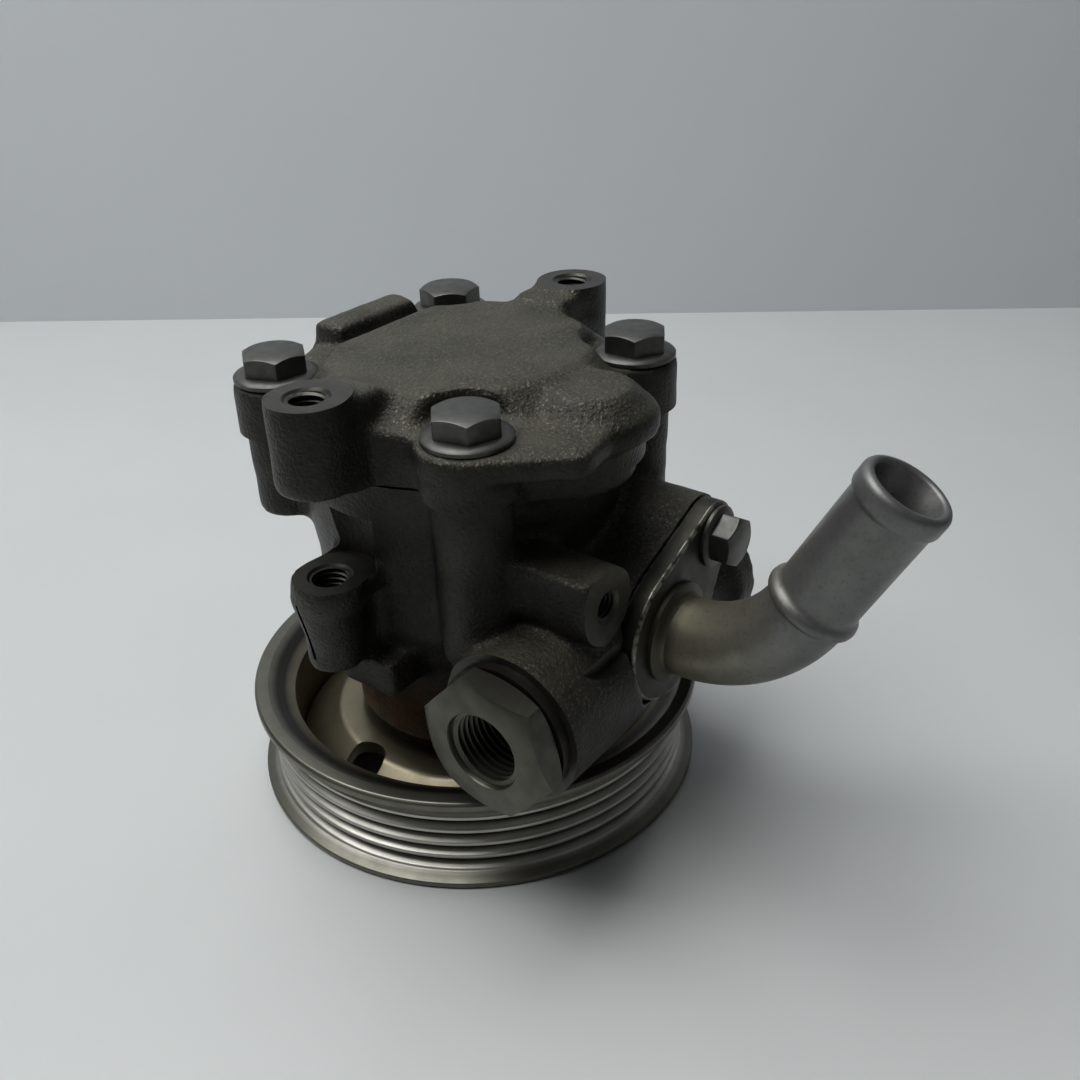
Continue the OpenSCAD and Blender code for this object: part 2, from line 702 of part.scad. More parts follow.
// Steel hexagon union with a female port thread, screwed into the valve barrel
module pressure_union() color(steel_tone) {
    front_y = -valve_mouth_y - union_seal_t - union_hex_len;
    on_valve_axis(front_y) difference() {
        union() {
            translate([0, 0, union_hex_len]) rotate(union_turn) mirror([0, 0, 1])
                hex_head(union_flats, union_hex_len);
            translate([0, 0, union_hex_len - over])
                cylinder(h = union_seal_t + union_stub_len + over, r = union_stub_r);
        }
        mirror([0, 0, 1]) tapped_hole(port_r, port_depth, port_chamfer);
        translate([0, 0, port_depth - over]) cylinder(h = 3 * union_stub_len, r = 0.4 * port_r);
    }
}

// Sealing ring between the union's hexagon and the barrel's mouth
module union_seal() color(bronze_tone)
    on_valve_axis(-valve_mouth_y - union_seal_t + seat_gap) rotate_extrude()
        translate([union_stub_r + run_gap, 0])
            square([0.53 * union_flats - union_stub_r, union_seal_t - 2 * seat_gap]);

// Flow control spool: two lands, a waist, a front nose and a relief chamber at its rear
module flow_valve_spool() color(bright_tone) {
    land_r = valve_bore_r - run_gap;
    on_valve_axis(spool_y) difference() {
        rotate_extrude() polygon([
            [0, 0], [0.45 * land_r, 0], [0.45 * land_r, 2], [land_r - 0.5, 2], [land_r, 2.5],
            [land_r, 0.3 * spool_len], [0.78 * land_r, 0.3 * spool_len],
            [0.78 * land_r, 0.5 * spool_len], [land_r, 0.5 * spool_len], [land_r, spool_len], [0, spool_len]
        ]);
        translate([0, 0, spool_len - relief_depth]) cylinder(h = relief_depth + over, r = relief_r);
        translate([0, 0, -over]) cylinder(h = spool_len, r = 0.15 * land_r);
    }
}

// Coil spring between the spool and the closed end of the valve bore
module flow_valve_spring() color(bright_tone) {
    wire_r = 0.7;
    on_valve_axis(spool_end_y + wire_r + run_gap)
        coil(valve_bore_r - wire_r - 0.6, wire_r, valve_bore_end_y - spool_end_y - 2 * (wire_r + run_gap), 6);
}

// Screwed relief seat with a hexagon end and a through hole
module relief_seat() color(bright_tone)
    on_valve_axis(relief_seat_y) difference() {
        union() {
            cylinder(h = relief_seat_len + over, r = relief_r - run_gap);
            translate([0, 0, relief_seat_len + over]) cylinder(h = 2.5, r = 0.9 * relief_r, $fn = 6);
        }
        translate([0, 0, -over]) cylinder(h = relief_seat_len + 5, r = relief_hole_r);
    }

// Steel ball on the relief seat
module relief_ball() color(bright_tone)
    on_valve_axis(relief_ball_y) sphere(relief_ball_r);

// Coil spring that holds the relief ball on its seat
module relief_spring() color(bright_tone) {
    wire_r = 0.4;
    start_y = spool_end_y - relief_depth + wire_r + run_gap;
    on_valve_axis(start_y)
        coil(0.75 * relief_ball_r, wire_r, relief_ball_y - start_y - relief_ball_r, 5);
}

// Steel clamp plate of teardrop outline, with holes for the pipe and its bolt
module suction_flange() color(steel_tone) difference() {
    flange_block(port_face_x, flange_plate_t, 0);
    along_x(port_face_x - over, suction_y, suction_z)
        cylinder(h = flange_plate_t + 2 * over, r = pipe_r + run_gap);
    along_x(port_face_x - over, flange_bolt_y, flange_bolt_z)
        cylinder(h = flange_plate_t + 2 * over, r = small_bolt_r + free_gap);
}

// The pipe's run: lead, elbow and spigot with beads, at a given inset from the outer wall
module pipe_run(inset, past) {
    lead = flange_plate_t + pipe_lead;
    translate([-pipe_insert - past, 0, 0]) rotate([0, 90, 0])
        cylinder(h = lead + pipe_insert + past, r = pipe_r - inset);
    translate([lead, 0, elbow_r]) rotate([90, 0, 0]) rotate([0, 0, -90])
        rotate_extrude(angle = elbow_angle) translate([elbow_r, 0]) circle(pipe_r - inset);
    translate([lead + elbow_r * sin(elbow_angle), 0, elbow_r * (1 - cos(elbow_angle))])
        rotate([0, 90 - elbow_angle, 0]) {
            if (inset > 0) cylinder(h = spigot_len + past, r = pipe_r - inset);
            else rotate_extrude() polygon(spigot_profile());
            if (inset == 0) translate([0, 0, -1]) cylinder(h = 2, r = pipe_r - pipe_wall / 2);
        }
}

// Outer profile of the hose spigot: stop bead, plain tube and rolled end band
function spigot_profile() = concat(
    [[0, 0], [pipe_r, 0]],
    [for (a = [-60:20:90]) [spigot_r + bead_rise * cos(a), 1.6 + 1.6 * sin(a)]],
    [[spigot_r, 3.4], [spigot_r, spigot_len - 5.4], [end_r, spigot_len - 4.4]],
    [for (a = [0:15:75]) [end_r - end_round * (1 - cos(a)), spigot_len - end_round * (1 - sin(a))]],
    [[end_r - end_round, spigot_len], [0, spigot_len]]
);

// Bent steel suction pipe with a brazed collar at the flange
module suction_pipe() color(chromate_tone)
    translate([port_face_x, suction_y, suction_z]) rotate([elbow_turn, 0, 0]) difference() {
        union() {
            pipe_run(0, 0);
            translate([flange_plate_t + seat_gap, 0, 0]) rotate([0, 90, 0]) rotate_extrude()
                polygon([
                    [0, 0], [collar_r, 0], [collar_r, 1], [collar_r - 0.6, 1.4],
                    [pipe_r + 0.8, 1.6], [pipe_r, 2.6], [0, 2.6]
                ]);
        }
        pipe_run(pipe_wall, over);
    }

// Round rubber ring in the housing's port face
module suction_seal() color(rubber_tone)
    along_x(port_face_x - seal_groove / 2, suction_y, suction_z)
        rotate_extrude() translate([suction_seal_r, 0]) circle(seal_groove / 2 - seat_gap);

// Small hexagon flange bolt that clamps the suction flange
module suction_flange_bolt() color(steel_tone)
    along_x(flange_face_x, flange_bolt_y, flange_bolt_z)
        flange_bolt(small_bolt_r, flange_plate_t + small_bolt_grip, small_bolt_flats,
            0.68 * small_bolt_flats, 0.25 * small_bolt_head_h, 0.75 * small_bolt_head_h);

// Steel shaft from the hub to the rear plate, stepped at the rotor
module drive_shaft() color(bright_tone) rotate_extrude() polygon([
    [0, web_seat_z], [shaft_r - 1, web_seat_z], [shaft_r, web_seat_z + 1],
    [shaft_r, cam_z - 1], [spline_r, cam_z - 0.5], [spline_r, rear_plate_z + 1.5],
    [spline_r - 0.5, rear_plate_z + 2], [spline_r - 0.5, shaft_top_z - 1], [spline_r - 1.5, shaft_top_z],
    [0, shaft_top_z]
]);

// Race groove shared by both bearing rings
module race_groove() {
    o_ring(ball_circle_r, ball_r + free_gap, bearing_z + bearing_w / 2);
}

// Outer ring of the ball bearing, seated in the nose
module bearing_outer_ring() color(bright_tone) difference() {
    ring(ball_circle_r + race_gap / 2, bearing_r, bearing_z, bearing_w);
    race_groove();
}

// Inner ring of the ball bearing, on the shaft
module bearing_inner_ring() color(bright_tone) difference() {
    ring(shaft_r + seat_gap, ball_circle_r - race_gap / 2, bearing_z, bearing_w);
    race_groove();
}

// Children are repeated at the bearing balls
module at_balls() {
    for (i = [0:ball_count - 1])
        rotate(360 / ball_count * i) translate([ball_circle_r, 0, bearing_z + bearing_w / 2]) children();
}

// Balls of the bearing
module bearing_balls() color(bright_tone) at_balls() sphere(ball_r);

// Cage that spaces the bearing balls
module bearing_cage() color(bronze_tone) difference() {
    cage_h = 2 * (ball_r + 3 * free_gap);
    ring(ball_circle_r - 0.9, ball_circle_r + 0.9, bearing_z + bearing_w / 2 - cage_h / 2, cage_h);
    at_balls() sphere(ball_r + free_gap);
}

// Open spring ring that keeps the bearing in the nose
module bearing_circlip() color(steel_tone) difference() {
    ring(bearing_r - 2.8, bearing_r + 0.9, circlip_z + run_gap, circlip_t);
    translate([0, -3, circlip_z - over]) cube([bearing_r + 5, 6, circlip_t + 2 * over]);
}

// Radial shaft seal: outer case, floor and sealing lip
module shaft_seal() color(rubber_tone)
    translate([0, 0, seal_z + 0.5]) rotate_extrude() polygon([
        [shaft_r + run_gap, 2], [shaft_r + 1.2, 0.5], [seal_r - 1.6, 0.5], [seal_r - 1.6, 0],
        [seal_r, 0], [seal_r, seal_pocket_w - 1], [shaft_r + 1.5, seal_pocket_w - 1],
        [shaft_r + 1.5, 3.4]
    ]);

// Plain bronze bush behind the seal
module shaft_bush() color(bronze_tone)
    ring(shaft_r + run_gap, bush_r, bush_z + 0.5, bush_bore_w - 1);

// Two opposite kidney ports, centred on an angle
module kidney_ports(angle, z, h) {
    for (side = [0, 180])
        rotate(angle - 20 + side) translate([0, 0, z]) rotate_extrude(angle = 40)
            translate([cam_minor_r - 3.5, 0]) square([4.5, h]);
}

// Holes for the dowel pins
module dowel_holes(z, h) {
    for (a = [90, 270])
        rotate(a) translate([dowel_circle_r, 0, z]) cylinder(h = h, r = dowel_r + run_gap);
}

// Front plate on the floor of the cavity
module front_plate() color(steel_tone) difference() {
    ring(shaft_r + free_gap, inner_plate_r, cavity_z, front_plate_t);
    kidney_ports(45, cavity_z - over, front_plate_t + 2 * over);
    dowel_holes(cavity_z - over, front_plate_t + 2 * over);
}

// Cam ring with a two-lobed inner track
function cam_radius(a) = cam_minor_r + (cam_major_r - cam_minor_r) * pow(cos(a), 2);
module cam_ring() color(bright_tone) translate([0, 0, cam_z]) difference() {
    cylinder(h = cam_w, r = inner_plate_r);
    translate([0, 0, -over]) linear_extrude(cam_w + 2 * over)
        polygon([for (a = [0:5:355]) cam_radius(a) * [cos(a), sin(a)]]);
    dowel_holes(-over, cam_w + 2 * over);
}

// Slotted rotor on the shaft's spline
module rotor() color(bright_tone) difference() {
    ring(spline_r + seat_gap, rotor_r, cam_z + run_gap, cam_w - 2 * run_gap);
    for (i = [0:vane_count - 1])
        rotate(360 / vane_count * (i + 0.5))
            translate([rotor_r - vane_len - 0.6, -vane_t / 2 - run_gap, cam_z - over])
                cube([vane_len + 2, vane_t + 2 * run_gap, cam_w + 2 * over]);
}

// Vanes, drawn in to the rotor's rim
module vanes() color(bright_tone)
    for (i = [0:vane_count - 1])
        rotate(360 / vane_count * (i + 0.5))
            translate([rotor_r - vane_len, -vane_t / 2, cam_z + run_gap])
                cube([vane_len, vane_t, cam_w - 2 * run_gap]);

// Spring ring that keeps the rotor on the shaft
module rotor_circlip() color(steel_tone) difference() {
    clip_r = spline_r + rotor_clip_w;
    ring(spline_r + seat_gap, clip_r, rear_plate_z + run_gap, rotor_clip_t);
    translate([0, -rotor_clip_w, rear_plate_z - over])
        cube([clip_r + over, 2 * rotor_clip_w, rotor_clip_t + 2 * over]);
}

// Rear pressure plate with a blind shaft bore, outlet ports and a seal groove
module rear_plate() color(steel_tone) difference() {
    translate([0, 0, rear_plate_z]) cylinder(h = rear_plate_t, r = inner_plate_r);
    translate([0, 0, rear_plate_z - over])
        cylinder(h = over + rotor_clip_t + free_gap, r = spline_r + rotor_clip_w + free_gap);
    translate([0, 0, rear_plate_z])
        cylinder(h = shaft_top_z - rear_plate_z + free_gap, r = spline_r + free_gap);
    kidney_ports(135, rear_plate_z - over, rear_plate_t + 2 * over);
    dowel_holes(rear_plate_z - over, 0.7 * rear_plate_t);
    ring(cavity_r - plate_seal_t - 2 * run_gap, cavity_r + over,
        plate_seal_z - plate_seal_t / 2 - run_gap, plate_seal_t + 2 * run_gap);
}

// Round rubber ring in the rear plate's groove
module plate_seal() color(rubber_tone)
    o_ring(cavity_r - plate_seal_t / 2 - run_gap, plate_seal_t / 2, plate_seal_z);

// Dished spring washer between the rear plate and the cover's recess
module plate_spring() color(bright_tone) {
    rise = plate_gap + recess_depth - 1.2;
    translate([0, 0, rear_plate_top]) rotate_extrude()
        polygon([
            [0.5 * recess_r, 1.2 + rise], [0.5 * recess_r, rise], [0.9 * recess_r, 0],
            [recess_r - 1, 0], [recess_r - 1, 0.6]
        ]);
}

// Dowel pins through both plates and the cam ring
module dowel_pins() color(bright_tone)
    for (a = [90, 270])
        rotate(a) translate([dowel_circle_r, 0, cavity_z - dowel_sink])
            cylinder(h = dowel_sink + front_plate_t + cam_w + 0.5 * rear_plate_t, r = dowel_r);

// Pressed hub that carries the pulley, with a sleeve up to the bearing
module pulley_hub() color(steel_tone) difference() {
    sleeve_h = bearing_z - hub_top_z - seat_gap;
    union() {
        ring(shaft_r + seat_gap, pilot_r, web_seat_z, web_t + over);
        ring(shaft_r + seat_gap, hub_r, web_top_z, hub_t);
        ring(shaft_r + seat_gap, ball_circle_r - race_gap / 2, hub_top_z - over, sleeve_h + over);
    }
    translate([0, 0, web_top_z - over]) at_pulley_bolts() cylinder(h = hub_t + 2 * over, r = bolt_r);
}

// Section of one belt groove, from its lower ridge to its upper ridge
function groove_section(i) = let (z = groove_z + i * groove_pitch) [
    [ridge_r, z + 0.12 * groove_pitch], [ridge_r - groove_depth, z + 0.42 * groove_pitch],
    [ridge_r - groove_depth, z + 0.58 * groove_pitch], [ridge_r, z + 0.88 * groove_pitch]
];

// Spun steel rim: front flange, grooved barrel and rear lip with an inner funnel
module pulley_rim() color(zinc_tone) rotate_extrude() polygon(concat(
    [
        [barrel_in_r, 1], [barrel_in_r + 1, 0], [pulley_r - 0.6, 0], [pulley_r, 0.6],
        [pulley_r, 0.6 * front_flange_t], [ridge_r + 0.4, front_flange_t]
    ],
    [for (i = [0:groove_count - 1]) for (p = groove_section(i)) p],
    [
        [ridge_r + 0.4, lip_z], [pulley_r, lip_z + 0.4 * lip_h], [pulley_r, pulley_h - 0.6],
        [pulley_r - 0.6, pulley_h], [pulley_r - lip_flat, pulley_h], [barrel_in_r, pulley_h - lip_h]
    ]
));

// Pressed steel web with a raised ridge, seated in the rim and bolted to the hub
module pulley_web() color(zinc_tone) difference() {
    web_r = barrel_in_r - seat_gap;
    rotate_extrude() polygon([
        [pilot_r + seat_gap, web_seat_z], [hub_r + 1, web_seat_z],
        [ridge_mid_r - ridge_w / 2, web_seat_z + web_rise],
        [ridge_mid_r + ridge_w / 2, web_seat_z + web_rise],
        [web_r, web_rise], [web_r, web_rise + web_t],
        [ridge_mid_r + ridge_w / 2, web_top_z + web_rise],
        [ridge_mid_r - ridge_w / 2, web_top_z + web_rise],
        [hub_r + 1, web_top_z], [pilot_r + seat_gap, web_top_z]
    ]);
    at_pulley_bolts() cylinder(h = pulley_h, r = bolt_r + free_gap);
    for (i = [0:web_hole_count - 1])
        rotate(261.5 + 360 / web_hole_count * i) translate([web_hole_circle_r, 0, -over])
            cylinder(h = pulley_h, r = web_hole_r);
}

// Hexagon bolts that hold the pulley on its hub, heads at the front
module pulley_bolts() color(steel_tone)
    translate([0, 0, web_seat_z]) at_pulley_bolts() mirror([0, 0, 1])
        flange_bolt(bolt_r, web_t + hub_t, 0.9 * bolt_flats, 0.55 * bolt_flats, 1.2, web_seat_z - 3);

pump_housing();
rear_cover();
cover_seal();
cover_bolts();
pressure_union();
union_seal();
flow_valve_spool();
flow_valve_spring();
relief_seat();
relief_ball();
relief_spring();
suction_flange();
suction_pipe();
suction_seal();
suction_flange_bolt();
drive_shaft();
bearing_outer_ring();
bearing_inner_ring();
bearing_balls();
bearing_cage();
bearing_circlip();
shaft_seal();
shaft_bush();
front_plate();
cam_ring();
rotor();
vanes();
rotor_circlip();
rear_plate();
plate_seal();
plate_spring();
dowel_pins();
pulley_hub();
pulley_rim();
pulley_web();
pulley_bolts();
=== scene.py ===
import math

import bmesh
import bpy
from mathutils import Matrix, Vector


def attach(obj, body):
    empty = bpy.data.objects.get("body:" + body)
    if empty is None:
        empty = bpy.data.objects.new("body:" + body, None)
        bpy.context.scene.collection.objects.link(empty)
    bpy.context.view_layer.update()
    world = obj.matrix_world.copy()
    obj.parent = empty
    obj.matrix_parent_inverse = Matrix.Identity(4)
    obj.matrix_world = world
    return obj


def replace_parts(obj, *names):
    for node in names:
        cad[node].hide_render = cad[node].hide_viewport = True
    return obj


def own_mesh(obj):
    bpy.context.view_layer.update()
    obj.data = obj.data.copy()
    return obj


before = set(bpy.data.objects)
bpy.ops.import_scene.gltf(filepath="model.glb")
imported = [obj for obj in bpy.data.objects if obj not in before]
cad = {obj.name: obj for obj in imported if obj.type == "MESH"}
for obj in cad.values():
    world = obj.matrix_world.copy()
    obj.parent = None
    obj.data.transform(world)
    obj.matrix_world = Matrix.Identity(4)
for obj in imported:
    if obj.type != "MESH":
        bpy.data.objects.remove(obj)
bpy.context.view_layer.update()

# Studio: a pale enamelled bench against a grey wall, under one broad soft lamp. The pump stands on
# its pulley as in the photograph, and the camera looks down on it from the pressure union's side.
def linear(code):
    """An sRGB hex colour as the linear colour that the shaders take."""
    parts = [int(code[i:i + 2], 16) / 255 for i in (0, 2, 4)]
    return [p / 12.92 if p <= 0.04045 else ((p + 0.055) / 1.055) ** 2.4 for p in parts] + [1]


def add_node(tree, kind, inputs=None, **settings):
    """A node with its settings; an input takes a value or the socket that feeds it."""
    made = tree.nodes.new(kind)
    for name, value in settings.items():
        setattr(made, name, value)
    for name, value in (inputs or {}).items():
        if isinstance(value, bpy.types.NodeSocket):
            tree.links.new(value, made.inputs[name])
        else:
            made.inputs[name].default_value = value
    return made


def surface(name):
    """A new material, its node tree, its shader and its Object coordinates."""
    made = bpy.data.materials.new(name)
    made.use_nodes = True
    tree = made.node_tree
    place = add_node(tree, "ShaderNodeTexCoord").outputs["Object"]
    return made, tree, tree.nodes["Principled BSDF"], place


scene = bpy.context.scene
scene.view_settings.view_transform = "Standard"

# The camera stands where the photograph's stood, as found from the pulley's circles and the bolts.
lens_right = Vector((0.8078, 0.5891, -0.0252))
lens_up = Vector((-0.2721, 0.4103, 0.8704))
lens_back = Vector((0.5232, -0.6961, 0.4917))
lens_at = Vector((0.1498, -0.1724, 0.1835))
camera = bpy.data.objects.new("camera", bpy.data.cameras.new("camera"))
camera.data.lens = 38.17
camera.data.sensor_width = 36
camera.data.sensor_fit = "HORIZONTAL"
camera.data.clip_start = 0.01
camera.matrix_world = Matrix.Translation(lens_at) @ Matrix(
    (lens_right, lens_up, lens_back)).transposed().to_4x4()
scene.collection.objects.link(camera)
scene.camera = camera

# White enamel on the bench: faint clouds about 0.1 m wide and a soft gloss that mirrors the pump.
bench_enamel, tree, shader, place = surface("white_bench_enamel")
clouds = add_node(tree, "ShaderNodeTexNoise", {"Vector": place, "Scale": 9, "Detail": 3})
tone = add_node(tree, "ShaderNodeMix",
                {0: clouds.outputs["Fac"], 6: linear("cccfce"), 7: linear("d6d9d8")}, data_type="RGBA")
tree.links.new(tone.outputs[2], shader.inputs["Base Color"])
shader.inputs["Roughness"].default_value = 0.3

# Grey emulsion on the wall: matt, with roller clouds about a quarter of a metre wide.
wall_paint, tree, shader, place = surface("grey_wall_paint")
clouds = add_node(tree, "ShaderNodeTexNoise", {"Vector": place, "Scale": 4, "Detail": 2})
tone = add_node(tree, "ShaderNodeMix",
                {0: clouds.outputs["Fac"], 6: linear("d8dce0"), 7: linear("e2e6ea")}, data_type="RGBA")
tree.links.new(tone.outputs[2], shader.inputs["Base Color"])
shader.inputs["Roughness"].default_value = 0.7

wall_turn = math.radians(34.1)
wall_foot = Vector((-0.185, 0.269, 0))
for name, half, finish, place in (
        ("bench", 3, bench_enamel, Matrix.Identity(4)),
        ("wall", 1.5, wall_paint, Matrix.Translation(wall_foot) @ Matrix.Rotation(wall_turn, 4, "Z")
         @ Matrix.Rotation(math.radians(90), 4, "X"))):
    sheet = bmesh.new()
    bmesh.ops.create_grid(sheet, x_segments=1, y_segments=1, size=half, matrix=place)
    sheet_mesh = bpy.data.meshes.new(name)
    sheet.to_mesh(sheet_mesh)
    sheet.free()
    sheet_mesh.materials.append(finish)
    sheet_object = bpy.data.objects.new(name, sheet_mesh)
    scene.collection.objects.link(sheet_object)

lamp = bpy.data.objects.new("ceiling_panel", bpy.data.lights.new("ceiling_panel", "AREA"))
lamp.data.shape = "RECTANGLE"
lamp.data.size = 0.9
lamp.data.size_y = 0.7
lamp.data.energy = 9
lamp_from = Vector((-0.27, -0.08, 0.83))
lamp_aim = lamp_from.to_track_quat("Z", "Y")
lamp.matrix_world = Matrix.Translation(lamp_from) @ lamp_aim.to_matrix().to_4x4()
scene.collection.objects.link(lamp)

# The room adds a little light from all round. Seen straight it is a pale backdrop, and metal
# mirrors it dimly.
world = bpy.data.worlds.new("room")
world.use_nodes = True
tree = world.node_tree
rays = add_node(tree, "ShaderNodeLightPath").outputs
mirrored = add_node(tree, "ShaderNodeMath", {0: rays["Is Glossy Ray"], 1: rays["Is Transmission Ray"]},
                    operation="MAXIMUM").outputs["Value"]
glow = add_node(tree, "ShaderNodeMix", {0: mirrored, 2: 0.05, 3: 0.15})
level = add_node(tree, "ShaderNodeMix", {0: rays["Is Camera Ray"], 2: glow.outputs[0], 3: 0.8})
tree.nodes["Background"].inputs["Color"].default_value = linear("c9cdcf")
tree.links.new(level.outputs[0], tree.nodes["Background"].inputs["Strength"])
scene.world = world

# Housing: the pump's body, poured in grey iron in a sand mould, so that its corners run into
# fillets. Only bores, joint, ports and ear faces are machined; the rest keeps its cast skin, glossier
# with oil on its sides and painted darker there as shade.
MM = 0.001

# Sand-cast grey iron: a gritty skin from the sand, rougher on top and glossier with oil on its sides,
# painted lighter on top and darker on its sides as light from above and shade, with painted glints on
# slopes that face up and painted shade in its pits and hollows, corners rubbed brighter, and rust at the
# nose, which the belt side leaves open to water.
cast_iron, tree, shader, place = surface("sand_cast_grey_iron")
grit = add_node(tree, "ShaderNodeTexNoise",
                {"Vector": place, "Scale": 1 / (0.8 * MM), "Detail": 3, "Roughness": 0.6})
stain = add_node(tree, "ShaderNodeTexNoise", {"Vector": place, "Scale": 1 / (9 * MM), "Detail": 5})
grain = add_node(tree, "ShaderNodeTexNoise", {"Vector": place, "Scale": 1 / (0.6 * MM), "Detail": 1})
stain_share = add_node(
    tree, "ShaderNodeMapRange",
    {"Value": stain.outputs["Fac"], "From Min": 0.35, "From Max": 0.65}).outputs["Result"]
# Painted light and shade: a lighter tone for faces that point up and a darker one for the sides, as a
# lamp overhead would light them.
shaded_side_tone = add_node(tree, "ShaderNodeMix",
                {0: stain_share, 6: linear("1b1a15"), 7: linear("302e26")}, data_type="RGBA")
lit_top_tone = add_node(tree, "ShaderNodeMix",
                 {0: stain_share, 6: linear("34332a"), 7: linear("454338")}, data_type="RGBA")
form = add_node(tree, "ShaderNodeNewGeometry").outputs
upward = add_node(tree, "ShaderNodeSeparateXYZ", {"Vector": form["Normal"]}).outputs["Z"]
top_lit_share = add_node(tree, "ShaderNodeMapRange",
                      {"Value": upward, "From Min": 0.5, "From Max": 0.97}).outputs["Result"]
skin = add_node(tree, "ShaderNodeMix",
                {0: top_lit_share, 6: shaded_side_tone.outputs[2], 7: lit_top_tone.outputs[2]}, data_type="RGBA")
# Painted glints: lighter specks on slopes that face up, where the lamp catches; they are also made more
# metallic.
glint = add_node(tree, "ShaderNodeMapRange",
                 {"Value": grain.outputs["Fac"], "From Min": 0.58, "From Max": 0.68}).outputs["Result"]
slope = add_node(tree, "ShaderNodeMapRange",
                 {"Value": upward, "From Min": 0.1, "From Max": 0.6}).outputs["Result"]
glint_share = add_node(tree, "ShaderNodeMath", {0: glint, 1: slope},
                       operation="MULTIPLY").outputs["Value"]
painted_glints = add_node(tree, "ShaderNodeMix",
                   {0: glint_share, 6: skin.outputs[2], 7: linear("625e53")}, data_type="RGBA")
# Painted shade in the grit's pits: darker where the bumps run low.
pit_shade_share = add_node(tree, "ShaderNodeMapRange",
                     {"Value": grit.outputs["Fac"], "From Min": 0.44, "From Max": 0.3, "To Max": 0.75})
pit_shaded = add_node(tree, "ShaderNodeMix",
                  {0: pit_shade_share.outputs["Result"], 6: painted_glints.outputs[2], 7: linear("1a1916")},
                  data_type="RGBA")
rub = add_node(tree, "ShaderNodeMapRange",
               {"Value": form["Pointiness"], "From Min": 0.53, "From Max": 0.62, "To Max": 0.3})
rubbed = add_node(tree, "ShaderNodeMix",
                  {0: rub.outputs["Result"], 6: pit_shaded.outputs[2], 7: linear("77766e")},
                  data_type="RGBA")
# Painted shade in hollows: darker where the surface bends inwards, at fillets and corners.
nook = add_node(tree, "ShaderNodeMapRange",
                {"Value": form["Pointiness"], "From Min": 0.48, "From Max": 0.42, "To Max": 0.8})
nook_shaded = add_node(tree, "ShaderNodeMix",
                 {0: nook.outputs["Result"], 6: rubbed.outputs[2], 7: linear("151411")},
                 data_type="RGBA")
height = add_node(tree, "ShaderNodeSeparateXYZ", {"Vector": place}).outputs["Z"]
low = add_node(tree, "ShaderNodeMapRange", {"Value": height, "From Min": 38 * MM, "From Max": 26 * MM})
rust_share = add_node(tree, "ShaderNodeMath", {0: low.outputs["Result"], 1: stain_share},
                      operation="MULTIPLY")
rusted = add_node(tree, "ShaderNodeMix",
                  {0: rust_share.outputs["Value"], 6: nook_shaded.outputs[2], 7: linear("5a3a26")},
                  data_type="RGBA")
tree.links.new(rusted.outputs[2], shader.inputs["Base Color"])
oil = add_node(tree, "ShaderNodeMapRange", {"Value": top_lit_share, "To Min": 0.42, "To Max": 0.52})
tree.links.new(oil.outputs["Result"], shader.inputs["Roughness"])
gleam = add_node(tree, "ShaderNodeMapRange", {"Value": glint_share, "To Min": 0.1, "To Max": 0.7})
tree.links.new(gleam.outputs["Result"], shader.inputs["Metallic"])
shader.inputs["Specular IOR Level"].default_value = 0.3
bump = add_node(tree, "ShaderNodeBump",
                {"Height": grit.outputs["Fac"], "Strength": 0.9, "Distance": 0.45 * MM})
tree.links.new(bump.outputs["Normal"], shader.inputs["Normal"])

# Milled iron: bare metal with dull oily spots and cutter marks, drawn 0.6 mm apart so that they
# show. A wave repeats about every 0.3 / Scale.
milled_iron, tree, shader, place = surface("milled_grey_iron")
marks = add_node(tree, "ShaderNodeTexWave",
                 {"Vector": place, "Scale": 0.3 / (0.6 * MM), "Distortion": 3, "Detail": 2},
                 wave_type="RINGS")
spots = add_node(tree, "ShaderNodeTexNoise", {"Vector": place, "Scale": 1 / (3 * MM), "Detail": 4})
bare = add_node(tree, "ShaderNodeMix",
                {0: spots.outputs["Fac"], 6: linear("34332f"), 7: linear("595853")}, data_type="RGBA")
tree.links.new(bare.outputs[2], shader.inputs["Base Color"])
shader.inputs["Metallic"].default_value = 0.9
shader.inputs["Roughness"].default_value = 0.42
bump = add_node(tree, "ShaderNodeBump",
                {"Height": marks.outputs["Fac"], "Strength": 0.25, "Distance": 0.04 * MM})
tree.links.new(bump.outputs["Normal"], shader.inputs["Normal"])


def along_x(x, y, z):
    """A place whose own Z points along +X."""
    return Matrix.Translation(Vector((x, y, z)) * MM) @ Matrix.Rotation(math.radians(90), 4, "Y")


def along_y(x, y, z):
    """A place whose own Z points along +Y."""
    return Matrix.Translation(Vector((x, y, z)) * MM) @ Matrix.Rotation(math.radians(-90), 4, "X")


def upright(x, y, z):
    """A place whose own Z points up."""
    return Matrix.Translation(Vector((x, y, z)) * MM)


def around(count, r, start=0):
    """Points in mm, spread evenly round the shaft."""
    return [Matrix.Rotation(math.radians(start + 360 / count * i), 4, "Z") @ Vector((r, 0, 0))
            for i in range(count)]


def paint(shape, stuff):
    """A shape whose faces all take one of its piece's finishes."""
    for face in shape.faces:
        face.material_index = stuff
    return shape


